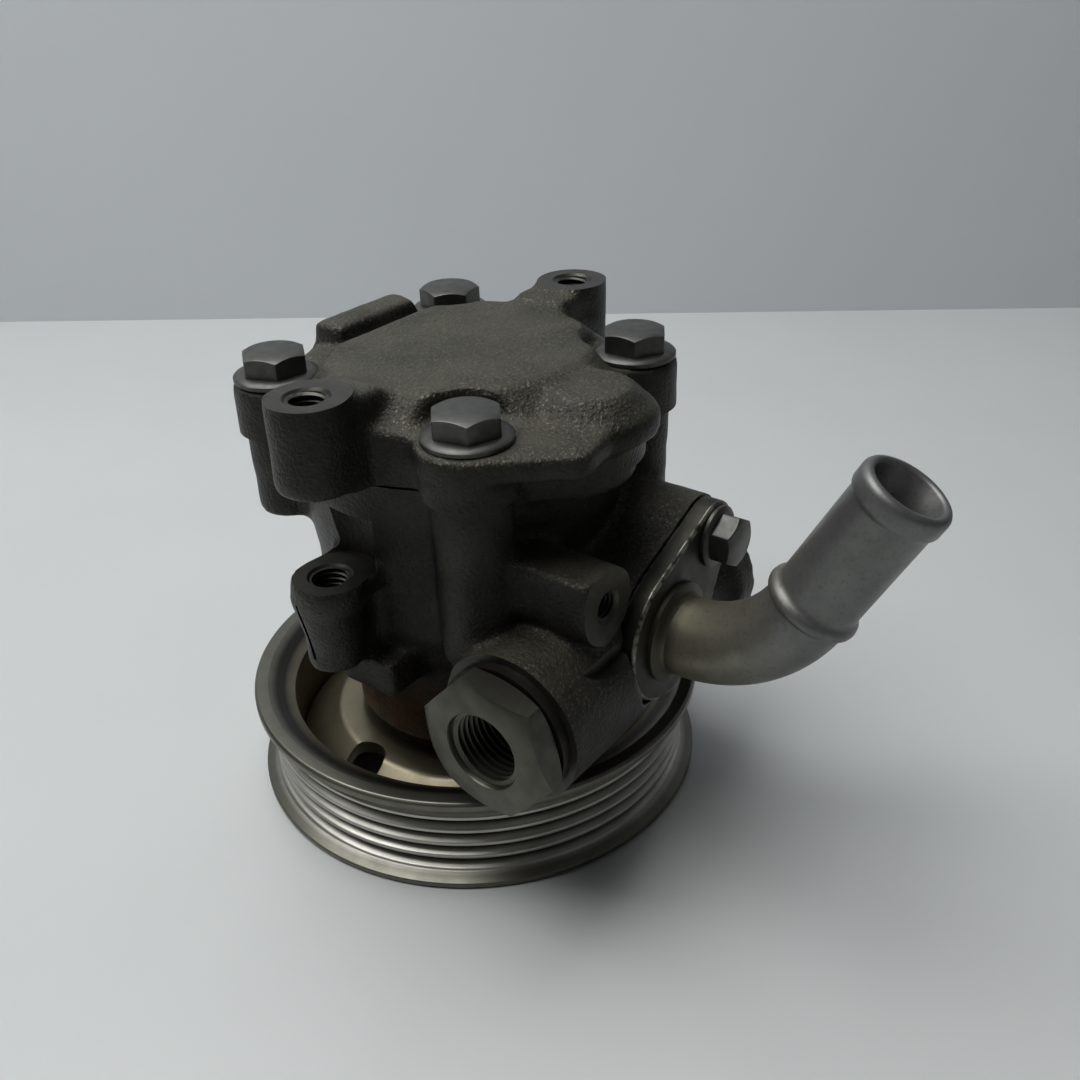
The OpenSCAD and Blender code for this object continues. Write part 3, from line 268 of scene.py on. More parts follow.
def turn(outline, where=Matrix.Identity(4), corner=0, steps=72, stuff=0):
    """A turned solid: a closed (radius, height) outline in mm, spun round Z and put in its place."""
    made = bmesh.new()
    face = made.faces.new([made.verts.new((r * MM, 0, z * MM)) for r, z in outline])
    if corner:
        bmesh.ops.bevel(made, geom=[v for v in face.verts if v.co.x > 1e-7], offset=corner * MM,
                        affect="VERTICES", segments=3, profile=0.5, material=-1, clamp_overlap=True)
    bmesh.ops.delete(made, geom=made.faces[:], context="FACES_ONLY")
    bmesh.ops.delete(made, geom=[e for e in made.edges if max(v.co.x for v in e.verts) < 1e-7],
                     context="EDGES")
    bmesh.ops.spin(made, geom=made.verts[:] + made.edges[:], cent=(0, 0, 0), axis=(0, 0, 1),
                   angle=2 * math.pi, steps=steps, use_merge=True)
    bmesh.ops.remove_doubles(made, verts=made.verts[:], dist=1e-7)
    bmesh.ops.recalc_face_normals(made, faces=made.faces[:])
    bmesh.ops.transform(made, matrix=where, verts=made.verts[:])
    return paint(made, stuff)


def rod(r, low, high, where=Matrix.Identity(4), stuff=0):
    """A plain round plug or cutter between two heights."""
    return turn([(0, low), (r, low), (r, high), (0, high)], where, stuff=stuff)


def gather(shells):
    """Several shells in one mesh."""
    whole = bmesh.new()
    for shell in shells:
        loose = bpy.data.meshes.new("shell")
        shell.to_mesh(loose)
        shell.free()
        whole.from_mesh(loose)
        bpy.data.meshes.remove(loose)
    return whole


def work(blank, tools, finishes, operation="DIFFERENCE", before=()):
    """A blank after its modifiers and one Boolean per tool; a cut face keeps its tool's material."""
    helpers = []
    for shape in [blank] + list(tools):
        helper = bpy.data.objects.new("helper", bpy.data.meshes.new("helper"))
        shape.to_mesh(helper.data)
        shape.free()
        for finish in finishes:
            helper.data.materials.append(finish)
        scene.collection.objects.link(helper)
        helpers.append(helper)
    for kind, settings in before:
        step = helpers[0].modifiers.new(kind, kind)
        for name, value in settings.items():
            setattr(step, name, value)
    for tool in helpers[1:]:
        step = helpers[0].modifiers.new("tool", "BOOLEAN")
        step.operation = operation
        step.solver = "EXACT"
        step.object = tool
    worked = bpy.data.meshes.new_from_object(
        helpers[0].evaluated_get(bpy.context.evaluated_depsgraph_get()))
    made = bmesh.new()
    made.from_mesh(worked)
    bpy.data.meshes.remove(worked)
    for helper in helpers:
        bpy.data.meshes.remove(helper.data)
    return made


def finished(name, shape, finishes, body, sharp=33):
    """A finished mesh as a piece that rides on a CAD body."""
    mesh = bpy.data.meshes.new(name)
    shape.to_mesh(mesh)
    shape.free()
    for finish in finishes:
        mesh.materials.append(finish)
    mesh.polygons.foreach_set("use_smooth", [True] * len(mesh.polygons))
    mesh.set_sharp_from_angle(angle=math.radians(sharp))
    made = bpy.data.objects.new(name, mesh)
    scene.collection.objects.link(made)
    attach(made, body)
    return made


def cad_copy(node):
    """A merged copy of a CAD node's loose triangles."""
    made = bmesh.new()
    made.from_mesh(cad[node].data)
    bmesh.ops.remove_doubles(made, verts=made.verts[:], dist=1e-6)
    return paint(made, 0)


def block(low, high, where=Matrix.Identity(4), stuff=0):
    """A plain box between two corners."""
    low, high = Vector(low) * MM, Vector(high) * MM
    made = bmesh.new()
    bmesh.ops.create_cube(made, size=1, matrix=where @ Matrix.Translation((low + high) / 2)
                          @ Matrix.Diagonal((high - low).to_4d()))
    return paint(made, stuff)


def add_stock(shape, level, stock):
    """Machining stock on a cast face: its points are moved out before the edges are rounded."""
    bmesh.ops.translate(shape, vec=(0, 0, stock * MM),
                        verts=[v for v in shape.verts if abs(v.co.z - level * MM) < 0.02 * MM])
    return shape


def teardrop(low, high, grow, stuff=0):
    """The suction flange's outline round its pipe and its bolt, between two places along X."""
    made = bmesh.new()
    for r, y, z in ((15.6 + grow, *suction_at[1:]), (7.6 + grow, *flange_bolt_at[1:])):
        for x in (low, high):
            bmesh.ops.create_circle(made, segments=72, radius=r * MM, matrix=along_x(x, y, z))
    bmesh.ops.convex_hull(made, input=made.verts[:])
    bmesh.ops.delete(made, geom=[v for v in made.verts if not v.link_faces], context="VERTS")
    bmesh.ops.dissolve_limit(made, angle_limit=math.radians(0.5), verts=made.verts[:],
                             edges=made.edges[:])
    bmesh.ops.recalc_face_normals(made, faces=made.faces[:])
    return paint(made, stuff)


# Places in mm: heights along the shaft, the bolts and ears round it, and where the ports open.
nose_z, joint_z, lug_z, ear_top_z, low_ear_top_z = 19, 86.4, 97.5, 105.2, 67.4
cover_bolt_turn = 42.3
cover_bolt_at = around(4, 37.6, cover_bolt_turn)
ear_y = 42.3
valve_at = (39.1, 0, 43.2)
suction_at = (48, 2.4, 49)
flange_bolt_at = (48, 18.9, 64)
bracket_at = (50, -18.6, 65.2)
low_ear = upright(0, -ear_y, 0)
valve_bore = along_y(*valve_at)
suction_port = along_x(*suction_at)
flange_hole = along_x(*flange_bolt_at)
bracket_hole = along_x(*bracket_at)

# The blank is the solid with its bores plugged and with stock on its machined faces, which keeps
# them out of the rounding, and with the casting's own belly, ear skirt and pad.
face_stock, low_ear_stock = 4, 0.8
shaft_plug = turn([(0, nose_z - face_stock), (28, nose_z - face_stock), (28, 24), (24, 24), (24, 49),
                   (26.4, 49), (26.4, 53), (28, 53), (28, 84), (31.2, 84), (31.2, joint_z + face_stock),
                   (0, joint_z + face_stock)])
belly = turn([(30, 60), (33.2, 60), (35.8, 78.4), (36, 78.4), (36, joint_z + face_stock),
              (30, joint_z + face_stock)], steps=96)
ear_skirt = turn([(0, 46.6), (4.6, 46.6), (7.3, 63.5), (0, 63.5)], low_ear)
bmesh.ops.translate(ear_skirt, vec=(-1.1 * MM, -0.8 * MM, 0),
                    verts=[v for v in ear_skirt.verts if v.co.z > 60 * MM])
pad = block((-5.2, -38, 37.8), (9.8, -20, 46.6))
housing_blank = gather([
    add_stock(add_stock(cad_copy("pump_housing"), joint_z, face_stock), low_ear_top_z, low_ear_stock),
    shaft_plug, rod(15.9, -39, -30, valve_bore), rod(12, -31, 31, valve_bore),
    teardrop(44, 50, 0.6), rod(13.6, -27, 0, suction_port), rod(4.6, -16, 0, flange_hole),
    rod(8, -5, 1.6, bracket_hole), rod(3.6, -13, 0, bracket_hole), belly, ear_skirt, pad,
    rod(3.7, 58, 64, low_ear), rod(5.5, 63, low_ear_top_z + low_ear_stock, low_ear)]
    + [rod(5, 69, joint_z + face_stock, upright(*at)) for at in cover_bolt_at])

# The cutters machine the rounded casting: shaft bores and joint, valve bore, suction port with its
# seal groove, tapped holes and the low ear's face. The slot in the ear's skirt is cast.
iron_finishes, milled = (cast_iron, milled_iron), 1
joint_gap = 0.26
face_z = joint_z - joint_gap
tap_cut_r, tap_mouth_r, tap_mouth = 4.15, 4.6, 0.5
shaft_bores = turn([(0, 10), (36, 10), (36, nose_z), (20.6, nose_z), (20.02, 19.5), (20.02, 19.8),
                    (21, 19.8), (21, 21.1), (20.02, 21.1), (20.02, 33.1), (15.02, 33.1), (15.02, 41.9),
                    (10.52, 41.9), (10.52, 53.9), (27, 53.9), (27, face_z), (28.5, face_z), (28.5, 84.5),
                    (30.7, 84.5), (30.7, face_z), (60, face_z), (60, 98), (0, 98)],
                   stuff=milled, steps=128)
valve_cut = turn([(0, -56), (19, -56), (19, -36.5), (12, -36.5), (11.05, -35.6), (11.05, -24),
                  (6.8, -24), (6.8, 30), (0, 30)], valve_bore, stuff=milled)
port_cut = turn([(0, -27.7), (7, -27.7), (7, -1.45), (8.55, -1.45), (8.55, 0.5), (0, 0.5)],
                suction_port, stuff=milled)
seal_groove = turn([(10.75, -1.6), (12.45, -1.6), (12.45, 0.5), (10.75, 0.5)], suction_port,
                   stuff=milled)
bracket_cut = turn([(0, -12), (3.1, -12), (3.1, -0.6), (3.7, 0), (14, 0), (14, 8), (0, 8)],
                   bracket_hole, stuff=milled)
low_ear_cut = turn([(0, 60), (tap_cut_r, 60), (tap_cut_r, low_ear_top_z - tap_mouth),
                    (tap_mouth_r, low_ear_top_z), (9.1, low_ear_top_z), (9.1, low_ear_top_z + 0.5),
                    (0, low_ear_top_z + 0.5)], low_ear, stuff=milled)
ear_slot = block((-0.35, -1.6, -7), (0.35, 1.6, 7), upright(-2.3, -48.2, 56.5)
                 @ Matrix.Rotation(math.radians(36), 4, "Z")
                 @ Matrix.Rotation(math.radians(-7.7), 4, "Y"))
housing_cutters = [
    shaft_bores, valve_cut, teardrop(48, 64, 0.9, stuff=milled), port_cut, seal_groove,
    rod(3.05, -14, 0.5, flange_hole, stuff=milled), bracket_cut,
    rod(9.2, low_ear_top_z + 0.25, 78, low_ear), low_ear_cut, ear_slot]
housing_cutters += [rod(4.05, 70.4, 88, upright(*at), stuff=milled) for at in cover_bolt_at]
housing_cutters += [rod(2.05, 50.4, 54.5, upright(0, side * 23.85, 0), stuff=milled) for side in (-1, 1)]
sand_skin = bpy.data.textures.new("sand_skin", "CLOUDS")
sand_skin.noise_scale = 7 * MM


def casting_steps(rounding):
    """Modifiers that turn a sharp blank into a casting, with more passes for larger fillets."""
    return (("REMESH", {"mode": "VOXEL", "voxel_size": 0.9 * MM}),
            ("SMOOTH", {"factor": 0.5, "iterations": rounding}),
            ("DISPLACE", {"texture": sand_skin, "texture_coords": "LOCAL", "strength": 0.35 * MM,
                          "mid_level": 0.5}))


housing = finished("housing_casting",
                   work(housing_blank, housing_cutters, iron_finishes, before=casting_steps(14)),
                   iron_finishes, "pump_body")
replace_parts(housing, "pump_housing")

# Tapped holes: the standard threads of the ears and the bracket boss, cut after milling. Each is
# a lining of one saw profile that climbs its pitch in one turn.
m6, m8, m16_fine = (2.5, 3.0, 1.0), (3.35, 4.0, 1.25), (7.15, 8.0, 1.5)


def only(kind, geom):
    """The edges, or the points, among what an operator gives back."""
    return [part for part in geom if isinstance(part, kind)]


def thread(core, major, pitch, low, high, where):
    """The lining of a tapped hole between two heights, cut flush at both ends."""
    made = bmesh.new()
    rows = math.ceil((high - low) / pitch) + 3
    inner, outer = [], []
    for row in range(rows):
        z = low + (row - 2) * pitch
        inner += [(core, z), (core, z + 0.22 * pitch),
                  (major, z + 0.55 * pitch), (major, z + 0.67 * pitch)]
        outer.append((major + 0.12, z))
    outline = inner + outer[::-1]
    ring = [made.verts.new((r * MM, 0, z * MM)) for r, z in outline]
    for a, b in zip(ring, ring[1:] + ring[:1]):
        made.edges.new((a, b))
    steps = 48
    bmesh.ops.spin(made, geom=made.verts[:] + made.edges[:], cent=(0, 0, 0), axis=(0, 0, 1),
                   dvec=(0, 0, pitch * MM / steps), angle=2 * math.pi, steps=steps, use_merge=False)
    bmesh.ops.remove_doubles(made, verts=made.verts[:], dist=2e-7)
    for height, way in ((high, 1), (low, -1)):
        cut = bmesh.ops.bisect_plane(made, geom=made.verts[:] + made.edges[:] + made.faces[:],
                                     plane_co=(0, 0, height * MM), plane_no=(0, 0, way),
                                     clear_outer=True)
        bmesh.ops.bridge_loops(made, edges=only(bmesh.types.BMEdge, cut["geom_cut"]))
    bmesh.ops.recalc_face_normals(made, faces=made.faces[:])
    bmesh.ops.transform(made, matrix=where, verts=made.verts[:])
    return made


housing_taps = gather([thread(*m8, 60.1, low_ear_top_z - tap_mouth, low_ear),
                       thread(*m6, -11.9, -0.6, bracket_hole)])
finished("housing_threads", housing_taps, (milled_iron,), "pump_body")

# Rear cover: a second grey iron casting with a dome, a rib and two tapped ears, spot-faced under
# its bolts and milled on its joint and on the ears' tops.
ear_hang = 5.5
cover_solid = add_stock(cad_copy("rear_cover"), joint_z, -face_stock)
cover_solid = add_stock(cover_solid, ear_top_z, face_stock)
# The solid's front ear hangs below the joint; the real one ends at it, so it is drawn up.
cover_solid = add_stock(cover_solid, joint_z - ear_hang, ear_hang + 0.4)
cover_blank = gather(
    [cover_solid, rod(24.6, joint_z - face_stock, 92)]
    + [rod(6, joint_z + 0.4, ear_top_z + face_stock, upright(0, side * ear_y, 0)) for side in (-1, 1)]
    + [rod(5, joint_z - face_stock, lug_z - 0.2, upright(*at)) for at in cover_bolt_at])
cast_recess = [(0, lug_z + 0.2), (9.5, lug_z + 0.2), (12.8, lug_z + 6.5), (12.8, 112), (0, 112)]
bolt_seat = [(0, 80), (4.3, 80), (4.3, lug_z), (9.4, lug_z), (9.4, lug_z + 0.5), (0, lug_z + 0.5)]
cover_cutters = [block((-60, -60, 72), (60, 60, joint_z + joint_gap), stuff=milled),
                 rod(24, 80, 91.4, stuff=milled)]
cover_cutters += [turn([(0, 70), (tap_cut_r, 70), (tap_cut_r, ear_top_z - tap_mouth),
                        (tap_mouth_r, ear_top_z), (11, ear_top_z), (11, 116), (0, 116)],
                       upright(0, side * ear_y, 0), stuff=milled) for side in (-1, 1)]
cover_cutters += [turn(cast_recess, upright(*at)) for at in cover_bolt_at]
cover_cutters += [turn(bolt_seat, upright(*at), stuff=milled) for at in cover_bolt_at]
cover = finished("rear_cover_casting",
                 work(cover_blank, cover_cutters, iron_finishes, before=casting_steps(18)),
                 iron_finishes, "pump_body")
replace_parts(cover, "rear_cover")
cover_taps = gather([thread(*m8, joint_z + 2, ear_top_z - tap_mouth, upright(0, side * ear_y, 0))
                     for side in (-1, 1)])
finished("cover_threads", cover_taps, (milled_iron,), "pump_body")

# Bolts: hexagon flange bolts of phosphated steel, forged with a coned flange under the head. Four
# hold the cover, a small one the suction flange, and three the pulley.

# Phosphated steel: a dull grey, mottled layer, a little glossier where oil has soaked in.
bolt_steel, tree, shader, place = surface("phosphated_bolt_steel")
mottle = add_node(tree, "ShaderNodeTexNoise", {"Vector": place, "Scale": 1 / (2.2 * MM), "Detail": 5})
speck = add_node(tree, "ShaderNodeTexNoise", {"Vector": place, "Scale": 1 / (0.5 * MM), "Detail": 2})
bolt_tone = add_node(tree, "ShaderNodeMix",
                     {0: mottle.outputs["Fac"], 6: linear("3d3d39"), 7: linear("636360")},
                     data_type="RGBA")
tree.links.new(bolt_tone.outputs[2], shader.inputs["Base Color"])
bolt_gloss = add_node(tree, "ShaderNodeMapRange",
                      {"Value": mottle.outputs["Fac"], "To Min": 0.5, "To Max": 0.34})
tree.links.new(bolt_gloss.outputs["Result"], shader.inputs["Roughness"])
shader.inputs["Metallic"].default_value = 0.8
bump = add_node(tree, "ShaderNodeBump",
                {"Height": speck.outputs["Fac"], "Strength": 0.3, "Distance": 0.06 * MM})
tree.links.new(bump.outputs["Normal"], shader.inputs["Normal"])


def hexagon(flats, low, high, low_chamfer=False):
    """A hexagon between two heights whose corners are turned off at the top, or at both ends."""
    made = bmesh.new()
    seat_r = 0.475 * flats
    slope = math.tan(math.radians(30))
    stations = [("top", "flat"), ("top", "rim"), ("foot", "rim")]
    if low_chamfer:
        stations.append(("foot", "flat"))
    steps = 48
    ring = bmesh.ops.create_circle(made, segments=steps, radius=1)["verts"]
    ways = [v.co.normalized() for v in ring]
    loops = [ring]
    edges = made.edges[:]
    for _ in stations[1:]:
        out = bmesh.ops.extrude_edge_only(made, edges=edges)["geom"]
        edges = only(bmesh.types.BMEdge, out)
        loops.append(sorted(only(bmesh.types.BMVert, out),
                            key=lambda v: min(range(steps), key=lambda k: (v.co - ways[k]).length)))
    for (end, kind), loop in zip(stations, loops):
        for way, vert in zip(ways, loop):
            angle = math.degrees(math.atan2(way.y, way.x)) % 60 - 30
            wide = flats / 2 / math.cos(math.radians(angle))
            drop = (wide - seat_r) * slope if kind == "rim" and (end == "top" or low_chamfer) else 0
            reach = seat_r if kind == "flat" else wide
            z = high - drop if end == "top" else low + drop
            vert.co = way * reach * MM + Vector((0, 0, z * MM))
    for loop in (loops[0], loops[-1]):
        made.faces.new(loop)
    bmesh.ops.recalc_face_normals(made, faces=made.faces[:])
    corners = [e for e in made.edges
               if (e.verts[0].co.xy - e.verts[1].co.xy).length < 1e-7
               and len(e.link_faces) == 2 and e.calc_face_angle() > 0.5]
    bmesh.ops.bevel(made, geom=corners, offset=0.25 * MM, affect="EDGES", segments=2, profile=0.5,
                    material=-1)
    return made


def flange_bolt(flats, hex_h, flange_r, flange_t, thread_r, length, where):
    """A flange bolt whose seat is at height 0 and whose thread points down."""
    shank_r = thread_r - 0.05
    shank = turn([(0, -length), (thread_r - 0.7, -length), (shank_r, -length + 0.8), (shank_r, 0),
                  (flange_r - 0.15, 0), (flange_r, 0.2), (flange_r, 0.6 * flange_t),
                  (flange_r - 0.3, 0.8 * flange_t), (0.58 * flats, 1.1 * flange_t), (0, 1.1 * flange_t)],
                 steps=64)
    head = hexagon(flats, 0.7 * flange_t, flange_t + hex_h)
    made = work(shank, [head], (bolt_steel,), operation="UNION")
    bmesh.ops.transform(made, matrix=where, verts=made.verts[:])
    return made


head_turns = (19, 29, 38, 58)
cover_bolts = gather([
    flange_bolt(flats=12.4, hex_h=4.4, flange_r=8.8, flange_t=1.5, thread_r=4, length=25.1,
                where=upright(at.x, at.y, lug_z)
                @ Matrix.Rotation(math.radians(cover_bolt_turn + 90 * i + head_turns[i]), 4, "Z"))
    for i, at in enumerate(cover_bolt_at)])
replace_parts(finished("cover_flange_bolts", cover_bolts, (bolt_steel,), "pump_body"),
            "cover_bolts")

# Pressure union: a turned steel hexagon, screwed into the valve barrel over a copper ring, with
# the female thread of the pressure line in its mouth.

# Turned steel: lathe rings, drawn 0.5 mm apart so that they show, under an uneven film of oil.
union_steel, tree, shader, place = surface("turned_union_steel")
centred = add_node(tree, "ShaderNodeMapping", {"Vector": place, "Location": [-c * MM for c in valve_at]})
lathe = add_node(tree, "ShaderNodeTexWave",
                 {"Vector": centred.outputs["Vector"], "Scale": 0.3 / (0.5 * MM), "Distortion": 0.6,
                  "Detail": 1}, wave_type="RINGS", rings_direction="Y")
film = add_node(tree, "ShaderNodeTexNoise", {"Vector": place, "Scale": 1 / (5 * MM), "Detail": 5})
union_tone = add_node(tree, "ShaderNodeMix",
                      {0: film.outputs["Fac"], 6: linear("3a3932"), 7: linear("6a695f")},
                      data_type="RGBA")
tree.links.new(union_tone.outputs[2], shader.inputs["Base Color"])
union_gloss = add_node(tree, "ShaderNodeMapRange",
                       {"Value": film.outputs["Fac"], "To Min": 0.48, "To Max": 0.3})
tree.links.new(union_gloss.outputs["Result"], shader.inputs["Roughness"])
shader.inputs["Metallic"].default_value = 0.9
bump = add_node(tree, "ShaderNodeBump",
                {"Height": lathe.outputs["Fac"], "Strength": 0.15, "Distance": 0.04 * MM})
tree.links.new(bump.outputs["Normal"], shader.inputs["Normal"])

union_front = along_y(valve_at[0], -45.4, valve_at[2])
union_turn = Matrix.Rotation(math.radians(11.8), 4, "Z")
union_hex = hexagon(27, 0, 6.5, low_chamfer=True)
bmesh.ops.transform(union_hex, matrix=union_turn, verts=union_hex.verts[:])
union_shank = turn([(0, 6), (11, 6), (11, 20.6), (10.2, 21.4), (0, 21.4)])
union_mouth = turn([(0, -3), (10, -3), (8.4, 0), (8.15, 0.5), (8.15, 13), (2.9, 15), (2.9, 30), (0, 30)])
union_body = work(union_hex, [union_shank], (union_steel,), operation="UNION")
union_body = work(union_body, [union_mouth], (union_steel,))
union_parts = gather([union_body, thread(*m16_fine, 1.0, 13, Matrix.Identity(4))])
bmesh.ops.transform(union_parts, matrix=union_front, verts=union_parts.verts[:])
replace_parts(finished("pressure_union_body", union_parts, (union_steel,), "pump_body"),
            "pressure_union")

# Suction flange: a stamped steel plate of teardrop outline that clamps the pipe against the
# housing's port face with one bolt. Its edges are rounded by the press and rubbed bare.

# Stamped steel: dark with caked grime, dull where it is thick and gleaming where it is thin.
flange_steel, tree, shader, place = surface("stamped_flange_steel")
grime = add_node(tree, "ShaderNodeTexNoise", {"Vector": place, "Scale": 1 / (4 * MM), "Detail": 6})
flange_tone = add_node(tree, "ShaderNodeMix",
                       {0: grime.outputs["Fac"], 6: linear("24241f"), 7: linear("46453c")},
                       data_type="RGBA")
tree.links.new(flange_tone.outputs[2], shader.inputs["Base Color"])
shader.inputs["Metallic"].default_value = 0.7
flange_gloss = add_node(tree, "ShaderNodeMapRange",
                        {"Value": grime.outputs["Fac"], "To Min": 0.6, "To Max": 0.36})
tree.links.new(flange_gloss.outputs["Result"], shader.inputs["Roughness"])
bump = add_node(tree, "ShaderNodeBump",
                {"Height": grime.outputs["Fac"], "Strength": 0.3, "Distance": 0.12 * MM})
tree.links.new(bump.outputs["Normal"], shader.inputs["Normal"])

# Rubbed steel: the plate's edge where handling has worn the grime off, bright in broken patches.
rubbed_steel, tree, shader, place = surface("rubbed_edge_steel")
wear = add_node(tree, "ShaderNodeTexNoise", {"Vector": place, "Scale": 1 / (2.5 * MM), "Detail": 5})
wear_share = add_node(
    tree, "ShaderNodeMapRange",
    {"Value": wear.outputs["Fac"], "From Min": 0.38, "From Max": 0.6}).outputs["Result"]
rubbed_tone = add_node(tree, "ShaderNodeMix",
                       {0: wear_share, 6: linear("3a3932"), 7: linear("9a988c")}, data_type="RGBA")
tree.links.new(rubbed_tone.outputs[2], shader.inputs["Base Color"])
shader.inputs["Metallic"].default_value = 0.8
rubbed_gloss = add_node(tree, "ShaderNodeMapRange",
                        {"Value": wear_share, "To Min": 0.55, "To Max": 0.32})
tree.links.new(rubbed_gloss.outputs["Result"], shader.inputs["Roughness"])

plate_front_x = 52.5
plate = teardrop(suction_at[0], plate_front_x, 0)
rims = [e for e in plate.edges if len(e.link_faces) == 2 and e.calc_face_angle() > 1]
worn = bmesh.ops.bevel(plate, geom=rims, offset=0.7 * MM, affect="EDGES", segments=3, profile=0.5,
                       material=-1)
for face in worn["faces"]:
    face.material_index = 1
plate_finishes = (flange_steel, rubbed_steel)
plate = work(plate, [rod(8.55, -3, 9, suction_port), rod(3.3, -3, 9, flange_hole)], plate_finishes)
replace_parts(finished("suction_flange_plate", plate, plate_finishes, "pump_body"),
            "suction_flange")
small_bolt = flange_bolt(flats=10, hex_h=4.5, flange_r=6.8, flange_t=1.5, thread_r=3, length=16.5,
                         where=along_x(plate_front_x, *flange_bolt_at[1:]))
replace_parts(finished("suction_flange_screw", small_bolt, (bolt_steel,), "pump_body"),
            "suction_flange_bolt")

# Suction pipe: drawn steel tube, bent to an elbow, with a brazed collar at the flange, a rolled
# stop bead and a rolled end for the hose. Its chromate wears off towards the spigot.

# Chromated steel: satin, yellowish at the elbow and plain grey at the spigot, with specks of dirt,
# and darker towards the collar.
pipe_steel, tree, shader, place = surface("chromated_pipe_steel")
weather = add_node(tree, "ShaderNodeTexNoise",
                   {"Vector": place, "Scale": 1 / (6 * MM), "Detail": 6, "Roughness": 0.65})
speckle = add_node(tree, "ShaderNodeTexNoise", {"Vector": place, "Scale": 1 / (0.9 * MM), "Detail": 3})
reach = add_node(tree, "ShaderNodeSeparateXYZ", {"Vector": place}).outputs["X"]
gilt = add_node(tree, "ShaderNodeMapRange", {"Value": reach, "From Min": 82 * MM, "From Max": 58 * MM})
plain = add_node(tree, "ShaderNodeMix",
                 {0: weather.outputs["Fac"], 6: linear("5a5b59"), 7: linear("878886")}, data_type="RGBA")
gilded = add_node(tree, "ShaderNodeMix",
                  {0: weather.outputs["Fac"], 6: linear("6f6a59"), 7: linear("a49d87")},
                  data_type="RGBA")
pipe_tone = add_node(tree, "ShaderNodeMix",
                     {0: gilt.outputs["Result"], 6: plain.outputs[2], 7: gilded.outputs[2]},
                     data_type="RGBA")
dirt = add_node(tree, "ShaderNodeMapRange",
                {"Value": speckle.outputs["Fac"], "From Min": 0.55, "From Max": 0.75, "To Max": 0.3})
pipe_dirty = add_node(tree, "ShaderNodeMix",
                      {0: dirt.outputs["Result"], 6: pipe_tone.outputs[2], 7: linear("35332d")},
                      data_type="RGBA")
# The tube turns darker towards the collar.
foot = add_node(tree, "ShaderNodeMapRange",
                {"Value": reach, "From Min": 57.5 * MM, "From Max": 54.5 * MM, "To Max": 0.85})
pipe_dark_at_collar = add_node(tree, "ShaderNodeMix",
                      {0: foot.outputs["Result"], 6: pipe_dirty.outputs[2], 7: linear("2c2a23")},
                      data_type="RGBA")
tree.links.new(pipe_dark_at_collar.outputs[2], shader.inputs["Base Color"])
shader.inputs["Metallic"].default_value = 0.65
pipe_gloss = add_node(tree, "ShaderNodeMapRange",
                      {"Value": weather.outputs["Fac"], "To Min": 0.52, "To Max": 0.32})
tree.links.new(pipe_gloss.outputs["Result"], shader.inputs["Roughness"])
bump = add_node(tree, "ShaderNodeBump",
                {"Height": speckle.outputs["Fac"], "Strength": 0.25, "Distance": 0.07 * MM})
tree.links.new(bump.outputs["Normal"], shader.inputs["Normal"])

# The tube is drawn on from its foot in the port: lead, elbow, then the spigot's (distance, radius)
# stations over its two beads, and back inside the same way.
pipe_foot, pipe_lead, elbow_r, elbow_turn = 1.4, 7.9, 27.8, math.radians(62.5)
pipe_roll = Matrix.Rotation(math.radians(-7.5), 4, "X")
pipe_r, pipe_in_r, spigot_r = 8.5, 7.0, 8.5
spigot_out = [(0.3, 9.1), (0.9, 9.55), (1.6, 9.7), (2.4, 9.5), (3.0, 9.0), (3.6, spigot_r + 0.05),
              (4.4, spigot_r), (26.3, spigot_r), (26.8, 8.7), (27.3, 9.05), (27.8, 9.2), (30.3, 9.22),
              (30.9, 9.12), (31.5, 8.75), (31.85, 8.2), (31.9, 7.8), (31.7, 7.3), (31.2, pipe_in_r)]
spigot_in = [(3, pipe_in_r), (0, pipe_in_r)]
pipe = bmesh.new()
bmesh.ops.create_circle(pipe, segments=72, radius=pipe_r * MM, matrix=along_x(-pipe_foot, 0, 0))
first = pipe.edges[:]


def draw_on(edges, step):
    """The open end of a tube, drawn on by a step."""
    out = bmesh.ops.extrude_edge_only(pipe, edges=edges)["geom"]
    bmesh.ops.translate(pipe, vec=step, verts=only(bmesh.types.BMVert, out))
    return only(bmesh.types.BMEdge, out)


def end_verts(edges):
    """The points of a tube's open end."""
    return list({v for e in edges for v in e.verts})


def bend_on(edges, angle):
    """The open end of a tube, spun round the elbow's centre."""
    out = bmesh.ops.spin(pipe, geom=edges, cent=(pipe_lead * MM, 0, elbow_r * MM), axis=(0, -1, 0),
                         angle=angle, steps=28)["geom_last"]
    return only(bmesh.types.BMEdge, out)


edges = draw_on(first, ((pipe_foot + pipe_lead) * MM, 0, 0))
edges = bend_on(edges, elbow_turn)
spigot_foot = Vector((pipe_lead + elbow_r * math.sin(elbow_turn), 0,
                      elbow_r * (1 - math.cos(elbow_turn)))) * MM
spigot_way = Vector((math.cos(elbow_turn), 0, math.sin(elbow_turn)))
now_at, now_r = 0, pipe_r
for at, r in spigot_out + spigot_in:
    edges = draw_on(edges, spigot_way * (at - now_at) * MM)
    centre = Matrix.Translation(spigot_foot + spigot_way * at * MM)
    bmesh.ops.scale(pipe, vec=[r / now_r] * 3, space=centre.inverted(), verts=end_verts(edges))
    now_at, now_r = at, r
edges = bend_on(edges, -elbow_turn)
edges = draw_on(edges, (-(pipe_foot + pipe_lead) * MM, 0, 0))
bmesh.ops.bridge_loops(pipe, edges=edges + first)
bmesh.ops.remove_doubles(pipe, verts=pipe.verts[:], dist=1e-7)
bmesh.ops.recalc_face_normals(pipe, faces=pipe.faces[:])
collar = turn([(8.52, 4.52), (10.9, 4.52), (10.9, 5.6), (10.3, 6.0), (9.4, 6.2), (8.9, 6.6),
               (8.52, 7.2)], along_x(0, 0, 0))
pipe = gather([pipe, collar])
